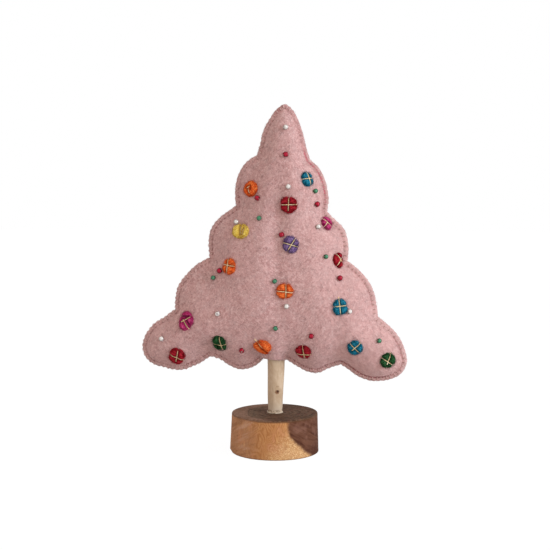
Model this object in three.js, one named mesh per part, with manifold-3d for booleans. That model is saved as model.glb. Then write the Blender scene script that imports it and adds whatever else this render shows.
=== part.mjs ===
import * as THREE from 'three';
import Module from 'manifold-3d';
import { mergeVertices } from 'three/addons/utils/BufferGeometryUtils.js';

// A stuffed felt christmas tree on a peeled stick in a round wooden base, in millimetres.
// +Z is up, the front looks along -Y, and the origin is the middle of the base's underside.

// Base block, turned from a slice of trunk, with a blind socket for the stick
const baseTopRadius = 37.9;
const baseBottomRadius = 38.7;
const baseHeight = 33.7;
const baseEdgeRound = 1.6;
const socketDepth = 20;
const baseSegmentCount = 44;
const edgeRoundStepCount = 3;

// Stick, glued in the socket, which thickens upwards and ends inside the stuffing
const stickFootRadius = 6.65;
const stickNeckRadius = 7.55;
const stickShowing = 47.7;
const stickReachInTree = 106;
const stickEndRound = 1.2;
const stickSegmentCount = 20;

// Dried glue squeezed out round the stick's foot
const glueWidth = 1.5;
const glueHeight = 0.9;

// Felt tree, sewn from two sheets that meet at a flat edge and dome over the stuffing
const treeWidth = 233;
const treeHeight = 237.4;
const feltThickness = 2.5;
const seamWidth = 3.6;
const crownHeight = 25;
const shoulderReach = 18;
const leanDegrees = 2;
const outlineStep = 9.4;
const leastStepCount = 3;
const mouthStepCount = 8;
const fineStepShare = 0.2;
const sleeveClearance = 0.8;

// Overcast thread that closes the edge, as one band that wraps both sheets
const bandWidth = 3;
const threadThickness = 0.6;

// Felt dots, each pulled in by a cross of thread into four lobes
const dotDiameter = 14.2;
const dotHeight = 2.6;
const dotEdgeHeight = 0.8;
const dotSkirtDepth = 1.8;
const dotCutDepth = 4;
const dotRingShares = [0.86, 0.48];
const dotStepCount = 16;
const waistShare = 0.08;
const pinchShare = 0.5;

// Glass beads, each threaded through its hole
const beadDiameter = 4.2;
const beadHoleDiameter = 1;
const beadLength = 3.4;
const beadSegmentCount = 8;
const beadSectionCount = 6;

// Clear space between neighbours that are cut to one another or lie on a curved sheet
const fitClearance = 0.3;

// Corners nearer to each other than this share of the clearance are one corner
const weldShare = 0.001;

// Outline of the tree while it stands upright: each stretch runs from one corner to the next, down
// the left side, along the bottom and up the right side. Points are shares of the tree's width and
// height, counted from the middle of the mouth where the stick goes in.
const leftOutlineShares = [
  [[0.004, 0.942], [-0.022, 0.929], [-0.050, 0.896], [-0.076, 0.845], [-0.087, 0.795], [-0.096, 0.756]],
  [[-0.096, 0.756], [-0.134, 0.731], [-0.164, 0.685], [-0.172, 0.624], [-0.169, 0.568]],
  [[-0.169, 0.568], [-0.224, 0.529], [-0.259, 0.480], [-0.267, 0.424], [-0.262, 0.371]],
  [[-0.262, 0.371], [-0.328, 0.327], [-0.376, 0.267], [-0.388, 0.215], [-0.390, 0.172]],
  [[-0.390, 0.172], [-0.454, 0.127], [-0.496, 0.079], [-0.509, 0.026], [-0.489, -0.026],
    [-0.446, -0.048], [-0.370, -0.057], [-0.302, -0.034], [-0.244, -0.003]],
  [[-0.244, -0.003], [-0.199, -0.016], [-0.158, -0.038], [-0.115, -0.043], [-0.071, -0.023], [-0.042, 0.003]],
];
const mouthShares = [[-0.042, 0.003], [0.044, -0.002]];
const rightOutlineShares = [
  [[0.044, -0.002], [0.084, -0.021], [0.145, -0.045], [0.203, -0.023], [0.249, -0.009]],
  [[0.249, -0.009], [0.291, -0.033], [0.344, -0.055], [0.397, -0.057], [0.458, -0.036],
    [0.486, 0.001], [0.488, 0.036], [0.463, 0.104], [0.425, 0.144], [0.379, 0.177]],
  [[0.379, 0.177], [0.371, 0.226], [0.350, 0.286], [0.308, 0.339], [0.257, 0.378]],
  [[0.257, 0.378], [0.256, 0.437], [0.235, 0.497], [0.197, 0.534], [0.175, 0.556]],
  [[0.175, 0.556], [0.175, 0.613], [0.154, 0.684], [0.125, 0.727], [0.103, 0.744]],
  [[0.103, 0.744], [0.087, 0.785], [0.073, 0.834], [0.051, 0.890], [0.027, 0.927], [0.004, 0.942]],
];

// Middle that the rings of the domed sheets close in on, and how far out each ring lies
const middleShares = [0.0, 0.22];
const ringShares = [0.9, 0.74, 0.52, 0.26];

// Dots on the front: place as on the outline, diameter as a share of the usual one, and how far
// the cross of thread is turned, as a share of a quarter turn.
const dotShares = [
  { piece: 'dot_teal_1', across: 0.097, up: 0.670, size: 1.03, turn: 0.04 },
  { piece: 'dot_orange_1', across: -0.113, up: 0.634, size: 1.02, turn: 0.30 },
  { piece: 'dot_red_1', across: 0.039, up: 0.580, size: 1.01, turn: 0.0 },
  { piece: 'dot_magenta_1', across: 0.169, up: 0.510, size: 0.90, turn: 0.5 },
  { piece: 'dot_yellow', across: -0.139, up: 0.478, size: 0.98, turn: 0.08 },
  { piece: 'dot_purple', across: 0.054, up: 0.437, size: 0.98, turn: -0.2 },
  { piece: 'dot_red_2', across: 0.220, up: 0.386, size: 1.0, turn: 0.5 },
  { piece: 'dot_orange_2', across: -0.177, up: 0.346, size: 1.0, turn: 0.0 },
  { piece: 'dot_orange_3', across: 0.038, up: 0.268, size: 1.0, turn: 0.0 },
  { piece: 'dot_teal_2', across: 0.242, up: 0.216, size: 1.05, turn: 0.1 },
  { piece: 'dot_magenta_2', across: -0.335, up: 0.138, size: 1.08, turn: 0.4 },
  { piece: 'dot_green_1', across: -0.204, up: 0.056, size: 1.0, turn: 0.0 },
  { piece: 'dot_orange_4', across: -0.039, up: 0.055, size: 1.03, turn: 0.33 },
  { piece: 'dot_red_3', across: -0.369, up: 0.001, size: 1.03, turn: -0.22 },
  { piece: 'dot_red_4', across: 0.114, up: 0.045, size: 0.99, turn: 0.0 },
  { piece: 'dot_teal_3', across: 0.302, up: 0.070, size: 0.98, turn: 0.5 },
  { piece: 'dot_green_2', across: 0.428, up: 0.024, size: 0.98, turn: -0.3 },
];

// Beads on the front: place as on the outline, and how far the hole is turned from level, as a
// share of a quarter turn, or facing out where there is no turn.
const beadShares = [
  { piece: 'bead_white_1', across: 0.010, up: 0.855, turn: 0.2 },
  { piece: 'bead_white_2', across: 0.035, up: 0.643, turn: -0.4 },
  { piece: 'bead_white_3', across: -0.158, up: 0.509, turn: 0.6 },
  { piece: 'bead_white_4', across: 0.146, up: 0.501, turn: 0.9 },
  { piece: 'bead_white_5', across: 0.046, up: 0.214, turn: -0.1 },
  { piece: 'bead_white_6', across: -0.214, up: 0.173, turn: null },
  { piece: 'bead_white_7', across: 0.276, up: 0.202, turn: 0.3 },
  { piece: 'bead_white_8', across: -0.430, up: 0.064, turn: -0.7 },
  { piece: 'bead_red_1', across: 0.017, up: 0.759, turn: 0.1 },
  { piece: 'bead_red_2', across: -0.082, up: 0.600, turn: -0.3 },
  { piece: 'bead_red_3', across: 0.134, up: 0.583, turn: 0.5 },
  { piece: 'bead_red_4', across: 0.010, up: 0.473, turn: -0.8 },
  { piece: 'bead_red_5', across: -0.215, up: 0.328, turn: 0.2 },
  { piece: 'bead_red_6', across: 0.234, up: 0.318, turn: 0.7 },
  { piece: 'bead_red_7', across: 0.140, up: 0.108, turn: -0.2 },
  { piece: 'bead_red_8', across: -0.120, up: 0.039, turn: null },
  { piece: 'bead_green_1', across: 0.125, up: 0.629, turn: 0.4 },
  { piece: 'bead_green_2', across: -0.068, up: 0.528, turn: -0.6 },
  { piece: 'bead_green_3', across: 0.178, up: 0.396, turn: 0.0 },
  { piece: 'bead_green_4', across: -0.241, up: 0.301, turn: 0.8 },
  { piece: 'bead_green_5', across: 0.001, up: 0.303, turn: -0.5 },
  { piece: 'bead_green_6', across: 0.008, up: 0.133, turn: 0.3 },
  { piece: 'bead_green_7', across: 0.389, up: 0.097, turn: -0.1 },
];

// Colour and roughness of each material
const wood = { color: 0xb27a50, roughness: 0.6 };
const peeledWood = { color: 0xd2b090, roughness: 0.7 };
const driedGlue = { color: 0xcbb9a0, roughness: 0.5 };
const pinkFelt = { color: 0xd09a96, roughness: 0.95 };
const fibreFill = { color: 0xe8e4dc, roughness: 1 };
const pinkThread = { color: 0xd8a8a0, roughness: 0.9 };
const dotFelts = {
  teal: { color: 0x0f7f94, roughness: 0.95 },
  orange: { color: 0xe4642c, roughness: 0.95 },
  red: { color: 0x941c24, roughness: 0.95 },
  magenta: { color: 0xaa2468, roughness: 0.95 },
  yellow: { color: 0xd8b43c, roughness: 0.95 },
  purple: { color: 0x70549a, roughness: 0.95 },
  green: { color: 0x1c5a34, roughness: 0.95 },
};
const beadGlasses = {
  white: { color: 0xf2eee6, roughness: 0.2 },
  red: { color: 0xb0142c, roughness: 0.15 },
  green: { color: 0x1f7a4a, roughness: 0.15 },
};

const fullTurn = Math.PI * 2;
const mouthHeight = baseHeight + stickShowing;
const sheetOuterOffset = fitClearance / 2 + feltThickness;

const wasm = await Module();
wasm.setup();

// Shape helpers

// One closed body from points and triangles, turned so that its faces point out.
function closedBody(points, triangles) {
  const geometry = new THREE.BufferGeometry();
  geometry.setAttribute('position', new THREE.Float32BufferAttribute(points.flat(), 3));
  geometry.setIndex(triangles.flat());
  return facingOut(geometry);
}

// The same body with welded corners, and with its triangles turned if they faced inwards.
function facingOut(geometry) {
  geometry.deleteAttribute('normal');
  geometry.deleteAttribute('uv');
  const welded = mergeVertices(geometry, fitClearance * weldShare);
  const place = welded.attributes.position;
  const order = [];
  let volume = 0;
  const a = new THREE.Vector3();
  const b = new THREE.Vector3();
  const c = new THREE.Vector3();
  for (let i = 0; i < welded.index.count; i += 3) {
    const corners = [welded.index.getX(i), welded.index.getX(i + 1), welded.index.getX(i + 2)];
    if (new Set(corners).size < 3) continue;
    a.fromBufferAttribute(place, corners[0]);
    b.fromBufferAttribute(place, corners[1]);
    c.fromBufferAttribute(place, corners[2]);
    volume += a.dot(b.cross(c));
    order.push(corners);
  }
  welded.setIndex(order.map((corners) => (volume < 0 ? corners.reverse() : corners)).flat());
  welded.computeVertexNormals();
  return welded;
}

// A profile of [radius, height] pairs turned about the vertical axis.
function turned(profile, segmentCount) {
  const geometry = new THREE.LatheGeometry(profile.map(([r, h]) => new THREE.Vector2(r, h)), segmentCount);
  geometry.rotateX(Math.PI / 2);
  return facingOut(geometry);
}

function solidOf(geometry) {
  const solid = new wasm.Mesh({
    numProp: 3,
    vertProperties: new Float32Array(geometry.attributes.position.array),
    triVerts: new Uint32Array(geometry.index.array),
  });
  return new wasm.Manifold(solid);
}

function geometryOf(solid) {
  const mesh = solid.getMesh();
  const geometry = new THREE.BufferGeometry();
  geometry.setAttribute('position', new THREE.BufferAttribute(new Float32Array(mesh.vertProperties), 3));
  geometry.setIndex(new THREE.BufferAttribute(new Uint32Array(mesh.triVerts), 1));
  geometry.computeVertexNormals();
  return geometry;
}

// Triangles of the strip between two rings of corner numbers, the second inside the first.
function ringStrip(outerRing, innerRing) {
  const triangles = [];
  outerRing.forEach((corner, i) => {
    const j = (i + 1) % outerRing.length;
    triangles.push([corner, outerRing[j], innerRing[j]], [corner, innerRing[j], innerRing[i]]);
  });
  return triangles;
}

// Triangles that close a ring of corner numbers on one middle corner.
function ringFan(ring, middle) {
  return ring.map((corner, i) => [corner, ring[(i + 1) % ring.length], middle]);
}

const reversed = (triangles) => triangles.map(([a, b, c]) => [c, b, a]);

// Base and stick

function baseGeometry() {
  const profile = [[0, 0]];
  const corner = (radius, height, startAngle) => {
    for (let step = 0; step <= edgeRoundStepCount; step += 1) {
      const angle = startAngle + (step / edgeRoundStepCount) * (fullTurn / 4);
      profile.push([
        radius - baseEdgeRound + baseEdgeRound * Math.cos(angle),
        height + baseEdgeRound * Math.sin(angle),
      ]);
    }
  };
  corner(baseBottomRadius, baseEdgeRound, -fullTurn / 4);
  corner(baseTopRadius, baseHeight - baseEdgeRound, 0);
  const socketRadius = stickFootRadius + fitClearance;
  profile.push([socketRadius, baseHeight], [socketRadius, baseHeight - socketDepth]);
  profile.push([0, baseHeight - socketDepth]);
  return turned(profile, baseSegmentCount);
}

// The stick's outline, or with some clear space round it that of the bore that takes it.
function stickProfile(clearance) {
  const bottom = baseHeight - socketDepth + fitClearance;
  const top = mouthHeight + stickReachInTree + clearance;
  return [
    [0, bottom],
    [stickFootRadius + clearance - stickEndRound, bottom],
    [stickFootRadius + clearance, bottom + stickEndRound],
    [stickFootRadius + clearance, baseHeight],
    [stickNeckRadius + clearance, mouthHeight],
    [stickNeckRadius + clearance, top - stickEndRound],
    [stickNeckRadius + clearance - stickEndRound, top],
    [0, top],
  ];
}

function glueGeometry() {
  const inner = stickFootRadius + fitClearance;
  const profile = [
    [inner, baseHeight],
    [inner + glueWidth, baseHeight],
    [inner + glueWidth / 2, baseHeight + glueHeight / 2],
    [inner, baseHeight + glueHeight],
    [inner, baseHeight],
  ];
  return turned(profile, stickSegmentCount);
}

// Outline of the felt

// Place in the seam's plane of a point of the upright tree, once the tree leans on its stick.
function treePoint(acrossShare, upShare) {
  const lean = THREE.MathUtils.degToRad(leanDegrees);
  const place = new THREE.Vector2(acrossShare * treeWidth, upShare * treeHeight);
  place.rotateAround(new THREE.Vector2(), -lean);
  place.y += mouthHeight;
  return place;
}

// Evenly spaced points of one stretch, without its last, which the next stretch begins with.
function stretchPoints(stretchShares, step, leastCount) {
  const curve = new THREE.SplineCurve(stretchShares.map(([across, up]) => treePoint(across, up)));
  const count = Math.max(leastCount, Math.round(curve.getLength() / step));
  return curve.getSpacedPoints(count).slice(0, -1);
}

// The whole outline at a given step, and where in it the mouth's points start and end.
function outlineAt(step) {
  const left = leftOutlineShares.flatMap((shares) => stretchPoints(shares, step, leastStepCount));
  const mouth = stretchPoints(mouthShares, step, mouthStepCount);
  const right = rightOutlineShares.flatMap((shares) => stretchPoints(shares, step, leastStepCount));
  const mouthEnd = left.length + mouth.length;
  return { points: [...left, ...mouth, ...right], mouthStart: left.length, mouthEnd };
}

const outline = outlineAt(outlineStep);
const fineOutline = outlineAt(outlineStep * fineStepShare).points;

// Unit direction into the tree at each point of the outline.
const inwards = outline.points.map((point, i) => {
  const count = outline.points.length;
  const along = outline.points[(i + 1) % count].clone().sub(outline.points[(i + count - 1) % count]);
  return new THREE.Vector2(-along.y, along.x).normalize();
});

// Distance to the edge, blended so that it has no creases where two edges are equally near.
function edgeDistance(point) {
  let pull = 0;
  fineOutline.forEach((start, i) => {
    const end = fineOutline[(i + 1) % fineOutline.length];
    const reach = start.clone().add(end).multiplyScalar(0.5).distanceTo(point);
    pull += start.distanceTo(end) / reach ** 3;
  });
  return Math.sqrt(2 / pull);
}

// How far the stuffing lifts the felt off the seam's plane.
function domeHeight(point) {
  const past = Math.max(0, edgeDistance(point) - seamWidth);
  return crownHeight * (1 - Math.exp(-past / shoulderReach));
}

// How far the felt has to stand off where it passes round the stick.
function sleeveHeight(point) {
  if (point.y > mouthHeight + stickReachInTree) return 0;
  const sleeveRadius = stickNeckRadius + sleeveClearance;
  return Math.sqrt(Math.max(0, sleeveRadius ** 2 - point.x ** 2));
}

// Rings of the sheets, from the felt's edge to near the middle, with the height of each point.
function sheetRings() {
  const middle = treePoint(...middleShares);
  const seam = outline.points.map((point, i) => point.clone().addScaledVector(inwards[i], seamWidth));
  const flat = (points) => points.map((point) => ({ point, dome: 0 }));
  const rings = [flat(outline.points), flat(seam)];
  ringShares.forEach((share) => {
    rings.push(seam.map((point) => {
      const place = middle.clone().lerp(point, share);
      return { point: place, dome: domeHeight(place) };
    }));
  });
  return { rings, middle: { point: middle, dome: domeHeight(middle) } };
}

const sheet = sheetRings();

// Height of the sheet's inner face: over the stuffing, and over the stick near the mouth.
function innerHeight({ point, dome }) {
  return Math.max(dome, sleeveHeight(point)) + fitClearance / 2;
}

// Felt sheets

// Corners of one face of a sheet, added to the list, with the corner numbers of its rings.
function addFace(corners, side, offset, heightOf) {
  const add = (spot) => corners.push([spot.point.x, side * (heightOf(spot) + offset), spot.point.y]) - 1;
  const rings = sheet.rings.map((ring) => ring.map(add));
  const middle = add(sheet.middle);
  const triangles = [];
  for (let i = 0; i + 1 < rings.length; i += 1) {
    triangles.push(...ringStrip(rings[i], rings[i + 1]));
  }
  triangles.push(...ringFan(rings.at(-1), middle));
  return { rim: rings[0], triangles };
}

// One sheet of felt, on the front for side -1 and on the back for side 1.
function panelGeometry(side) {
  const corners = [];
  const outer = addFace(corners, side, feltThickness, innerHeight);
  const inner = addFace(corners, side, 0, innerHeight);
  const rim = reversed(ringStrip(outer.rim, inner.rim));
  return closedBody(corners, [...outer.triangles, ...reversed(inner.triangles), ...rim]);
}

// Everything inside the felt's outer faces, which the ornaments are cut to.
function bodyGeometry() {
  const corners = [];
  const front = addFace(corners, -1, feltThickness, innerHeight);
  const back = addFace(corners, 1, feltThickness, innerHeight);
  const rim = reversed(ringStrip(front.rim, back.rim));
  return closedBody(corners, [...front.triangles, ...reversed(back.triangles), ...rim]);
}

// The stuffing fills the dome up to a sharp edge just inside the seam, bored for the stick.
function stuffingGeometry() {
  const corners = [];
  const edge = sheet.rings[1].map(({ point }) => corners.push([point.x, 0, point.y]) - 1);
  const triangles = [];
  [-1, 1].forEach((side) => {
    const add = ({ point, dome }) => (
      corners.push([point.x, side * Math.max(fitClearance, dome - fitClearance / 2), point.y]) - 1
    );
    const rings = [edge, ...sheet.rings.slice(2).map((ring) => ring.map(add))];
    const half = ringFan(rings.at(-1), add(sheet.middle));
    for (let i = 0; i + 1 < rings.length; i += 1) {
      half.push(...ringStrip(rings[i], rings[i + 1]));
    }
    triangles.push(...(side < 0 ? half : reversed(half)));
  });
  const bore = solidOf(turned(stickProfile(fitClearance), stickSegmentCount));
  return geometryOf(solidOf(closedBody(corners, triangles)).subtract(bore));
}

// Sewn edge

// The band of thread: a channel that wraps the edges of both sheets, open at the stick.
function stitchingGeometry() {
  const inside = sheetOuterOffset + fitClearance;
  const outside = inside + threadThickness;
  const channel = [
    [-bandWidth, inside], [fitClearance, inside], [fitClearance, -inside], [-bandWidth, -inside],
    [-bandWidth, -outside], [fitClearance + threadThickness, -outside],
    [fitClearance + threadThickness, outside], [-bandWidth, outside],
  ];
  const count = outline.points.length;
  const stitchedCount = count - (outline.mouthEnd - outline.mouthStart) + 1;
  const corners = [];
  const sections = [];
  for (let step = 0; step < stitchedCount; step += 1) {
    const i = (outline.mouthEnd + step) % count;
    const point = outline.points[i];
    sections.push(channel.map(([out, y]) => (
      corners.push([point.x - inwards[i].x * out, y, point.y - inwards[i].y * out]) - 1
    )));
  }
  const triangles = [];
  for (let step = 0; step + 1 < stitchedCount; step += 1) {
    triangles.push(...ringStrip(sections[step], sections[step + 1]));
  }
  const channelCap = ([a, b, c, d, e, f, g, h]) => [
    [a, b, g], [a, g, h], [b, c, f], [b, f, g], [c, d, e], [c, e, f],
  ];
  triangles.push(...reversed(channelCap(sections[0])), ...channelCap(sections.at(-1)));
  return closedBody(corners, triangles);
}

// Ornaments

// The felt's outer face at a place on the front, as a frame whose third axis points out of it.
function seatAt(acrossShare, upShare, reach) {
  const centre = treePoint(acrossShare, upShare);
  const probe = (x, z) => {
    const ray = new THREE.Raycaster(new THREE.Vector3(x, -treeWidth, z), new THREE.Vector3(0, 1, 0));
    return ray.intersectObject(frontPanel)[0].point;
  };
  const across = probe(centre.x + reach, centre.y).sub(probe(centre.x - reach, centre.y));
  const up = probe(centre.x, centre.y + reach).sub(probe(centre.x, centre.y - reach));
  const out = across.clone().cross(up).normalize();
  up.normalize();
  across.crossVectors(up, out);
  return new THREE.Matrix4().makeBasis(across, up, out).setPosition(probe(centre.x, centre.y));
}

// Height of the felt over a seat's plane, at a place on that plane.
function feltHeightOver(seat, x, y) {
  const start = new THREE.Vector3(x, y, treeWidth).applyMatrix4(seat);
  const inwardsAxis = new THREE.Vector3().setFromMatrixColumn(seat, 2).negate();
  const hit = new THREE.Raycaster(start, inwardsAxis).intersectObject(frontPanel)[0];
  return hit ? treeWidth - hit.distance : 0;
}

// A four-lobed pad that bends with the felt, carried down into it so that it can be cut to it.
function dotPad(seat, radius, turnShare) {
  const corners = [];
  const ring = (share, heightAt) => Array.from({ length: dotStepCount }, (_, i) => {
    const angle = (i / dotStepCount) * fullTurn;
    const onArm = Math.cos(2 * angle) ** 4;
    const reach = radius * share * (1 - waistShare * onArm);
    const turnedAngle = angle + turnShare * (fullTurn / 4);
    const x = reach * Math.cos(turnedAngle);
    const y = reach * Math.sin(turnedAngle);
    return corners.push([x, y, feltHeightOver(seat, x, y) + heightAt(share, onArm)]) - 1;
  });
  const crown = (share, onArm) => {
    const pinch = pinchShare * Math.max(onArm, (1 - share) ** 2);
    return dotEdgeHeight + (dotHeight - dotEdgeHeight) * (1 - share ** 4) * (1 - pinch);
  };
  const rings = [ring(1, () => -dotSkirtDepth), ring(1, crown)];
  dotRingShares.forEach((share) => rings.push(ring(share, crown)));
  const top = corners.push([0, 0, crown(0, 1)]) - 1;
  const bottom = corners.push([0, 0, -dotCutDepth]) - 1;
  const triangles = [...ringFan(rings.at(-1), top), ...reversed(ringFan(rings[0], bottom))];
  for (let i = 0; i + 1 < rings.length; i += 1) {
    triangles.push(...ringStrip(rings[i], rings[i + 1]));
  }
  return closedBody(corners, triangles);
}

// A dot in its place, cut to the felt under it.
function dotGeometry({ across, up, size, turn }) {
  const radius = (size * dotDiameter) / 2;
  const seat = seatAt(across, up, radius / 2);
  const out = new THREE.Vector3().setFromMatrixColumn(seat, 2).multiplyScalar(fitClearance);
  const underneath = treeSolid.translate(out.toArray());
  const pad = dotPad(seat, radius, turn).applyMatrix4(seat);
  return geometryOf(solidOf(pad).subtract(underneath));
}

// A bead with its hole upright.
function beadGeometry() {
  const wall = (beadDiameter - beadHoleDiameter) / 4;
  const profile = [];
  for (let i = 0; i <= beadSectionCount; i += 1) {
    const angle = (i / beadSectionCount) * fullTurn;
    profile.push([
      beadHoleDiameter / 2 + wall + wall * Math.cos(angle), (beadLength / 2) * Math.sin(angle),
    ]);
  }
  return turned(profile, beadSegmentCount);
}

// Sets a bead on the felt, on its side or with its hole facing out.
function placeBead(bead, { across, up, turn }) {
  const facesOut = turn === null;
  const seat = seatAt(across, up, beadDiameter / 2);
  const halfHeight = facesOut ? beadLength / 2 : beadDiameter / 2;
  const lift = new THREE.Matrix4().makeTranslation(0, 0, halfHeight + fitClearance);
  const spin = new THREE.Matrix4().makeRotationZ(turn * (fullTurn / 4));
  const tip = new THREE.Matrix4().makeRotationY(facesOut ? 0 : fullTurn / 4);
  const place = seat.multiply(lift).multiply(spin).multiply(tip);
  bead.position.setFromMatrixPosition(place);
  bead.quaternion.setFromRotationMatrix(place);
}

// Assembly

const tree = new THREE.Group();

function addPiece(name, geometry, finish) {
  const mesh = new THREE.Mesh(geometry, new THREE.MeshStandardMaterial({ ...finish, metalness: 0 }));
  mesh.name = name;
  tree.add(mesh);
  return mesh;
}

addPiece('base_block', baseGeometry(), wood);
addPiece('trunk_stick', turned(stickProfile(0), stickSegmentCount), peeledWood);
addPiece('glue_ring', glueGeometry(), driedGlue);
addPiece('stuffing', stuffingGeometry(), fibreFill);
const frontPanel = addPiece('front_panel', panelGeometry(-1), pinkFelt);
addPiece('back_panel', panelGeometry(1), pinkFelt);
addPiece('edge_stitching', stitchingGeometry(), pinkThread);

const treeSolid = solidOf(bodyGeometry());
dotShares.forEach((dot) => {
  addPiece(dot.piece, dotGeometry(dot), dotFelts[dot.piece.split('_')[1]]);
});
beadShares.forEach((bead) => {
  placeBead(addPiece(bead.piece, beadGeometry(), beadGlasses[bead.piece.split('_')[1]]), bead);
});

export default tree;
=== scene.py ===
import math
import random
from contextlib import contextmanager

import bpy
import numpy as np
from mathutils import Matrix, Vector, geometry, noise
from mathutils.bvhtree import BVHTree
from mathutils.kdtree import KDTree


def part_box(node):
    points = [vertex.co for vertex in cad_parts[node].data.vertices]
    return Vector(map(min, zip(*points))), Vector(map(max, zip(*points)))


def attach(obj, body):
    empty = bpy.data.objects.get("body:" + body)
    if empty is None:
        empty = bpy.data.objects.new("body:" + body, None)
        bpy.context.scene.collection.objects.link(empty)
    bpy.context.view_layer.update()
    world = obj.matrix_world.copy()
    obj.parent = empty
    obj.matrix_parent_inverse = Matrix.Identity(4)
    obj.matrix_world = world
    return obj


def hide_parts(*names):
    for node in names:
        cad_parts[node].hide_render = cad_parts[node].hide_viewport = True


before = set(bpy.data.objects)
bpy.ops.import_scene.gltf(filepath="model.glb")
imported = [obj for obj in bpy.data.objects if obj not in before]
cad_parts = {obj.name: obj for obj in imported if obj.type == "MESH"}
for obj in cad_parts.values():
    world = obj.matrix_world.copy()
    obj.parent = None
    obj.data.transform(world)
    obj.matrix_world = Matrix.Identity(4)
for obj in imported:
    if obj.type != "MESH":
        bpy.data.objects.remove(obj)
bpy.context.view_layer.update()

MM = 0.001

# Sizes of the tree

base_top_radius = 37.9 * MM
base_foot_radius = 38.7 * MM
base_height = 34.4 * MM
base_edge_round = 1.1 * MM
base_foot_round = 0.45 * MM
socket_depth = 20 * MM
stick_foot_radius = 6.65 * MM
stick_neck_radius = 7.95 * MM
stick_foot_height = 14.0 * MM
stick_top_height = 187.4 * MM
stick_end_round = 1.2 * MM
neck_height = 81.4 * MM
glue_radius = 0.62 * MM
glue_height_share = 1.35
felt_thickness = 2.5 * MM
felt_gap = 0.15 * MM
fill_grain = 3.2 * MM
fill_slack = 2.4 * MM
fill_lumps = 0.9 * MM
seam_width = 3.6 * MM
crown_height = 25 * MM
shoulder_reach = 18 * MM
mouth_half_width = 10.2 * MM
sleeve_height = 8.7 * MM
stitch_pitch = 4.3 * MM
stitch_depth = 3.7 * MM
stitch_lean = 0.9 * MM
stitch_thread_radius = 0.42 * MM
dot_height = 3.5 * MM
gold_strand_radius = 0.27 * MM
gold_twist_radius = 0.2 * MM
gold_twist_length = 2.4 * MM
gold_thread_lift = 0.42 * MM
gold_thread_dive = 1.5 * MM
gold_thread_sides = 5
yellow_dot_thinness = 0.6
bead_radius = 2.1 * MM
bead_hole_radius = 0.5 * MM
bead_half_length = 1.7 * MM
bead_lift = 1.5 * MM
bead_sizes = {"white": 1.03, "red": 1.12, "green": 0.97}
bead_unevenness = (0.96, 1.04)

# Marks on the stick: a knot and a small scar over it

knot_place = (2.5 * MM, -6.3 * MM, 53.5 * MM)
mark_place = (2.9 * MM, -6.4 * MM, 58.5 * MM)

# Camera, stood where the picture was taken, and what it and the lights are turned to

camera_distance = 1.0
camera_turn = math.radians(6)
camera_height = 0.2438
camera_aim = (0, 0, 0.1564)
camera_lens = 74.83
light_aim = (0, 0, 0.17)


# Work by hand, as with the mouse


def pick(piece=None):
    """Selects one piece, or nothing."""
    if bpy.context.object and bpy.context.object.mode != "OBJECT":
        bpy.ops.object.mode_set(mode="OBJECT")
    bpy.ops.object.select_all(action="DESELECT")
    if piece:
        piece.select_set(True)
        bpy.context.view_layer.objects.active = piece


@contextmanager
def edit_mode(select_all=False):
    bpy.ops.object.mode_set(mode="EDIT")
    if select_all:
        bpy.ops.mesh.select_all(action="SELECT")
    yield
    bpy.ops.object.mode_set(mode="OBJECT")


def add_shape(name, add, **settings):
    """A new simple shape that is at the origin, unturned and unscaled."""
    pick()
    add(**settings)
    piece = bpy.context.object
    piece.name = name
    bpy.ops.object.transform_apply(location=True, rotation=True, scale=True)
    return piece


def add_object(name, data):
    piece = bpy.data.objects.new(name, data)
    bpy.context.scene.collection.objects.link(piece)
    return piece


def turn_to(piece, place, aim):
    """Puts a camera or a light at a place and turns it to what it is aimed at."""
    piece.location = place
    piece.rotation_euler = (Vector(aim) - Vector(place)).to_track_quat("-Z", "Y").to_euler()


def give_material(piece, material):
    piece.data.materials.clear()
    piece.data.materials.append(material)


# Colours and materials


def tint(red, green, blue):
    """A colour as the eye sees it, 0 to 255, as Blender's linear colour."""
    parts = []
    for value in (red, green, blue):
        share = value / 255
        parts.append(share / 12.92 if share <= 0.04045 else ((share + 0.055) / 1.055) ** 2.4)
    return (*parts, 1.0)


class Value:
    """A number, place or colour that a material works out, so that a finish can be written as a sum."""

    def __init__(self, finish, socket):
        self.finish = finish
        self.socket = socket

    def __add__(self, other):
        return self.finish.sum("ADD", self, other)

    def __sub__(self, other):
        return self.finish.sum("SUBTRACT", self, other)

    def __rsub__(self, other):
        return self.finish.sum("SUBTRACT", other, self)

    def __mul__(self, other):
        return self.finish.sum("MULTIPLY", self, other)

    def __abs__(self):
        return self.finish.sum("ABSOLUTE", self)

    def sine(self):
        return self.finish.sum("SINE", self)

    def ramp(self, low, high, start=0.0, end=1.0):
        """Goes softly from start to end while the number goes from low to high."""
        limits = {"From_Min": low, "From_Max": high, "To_Min": start, "To_Max": end}
        node = self.finish.node("MapRange", Value=self, **limits)
        node.interpolation_type = "SMOOTHSTEP"
        return Value(self.finish, node.outputs[0])


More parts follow.
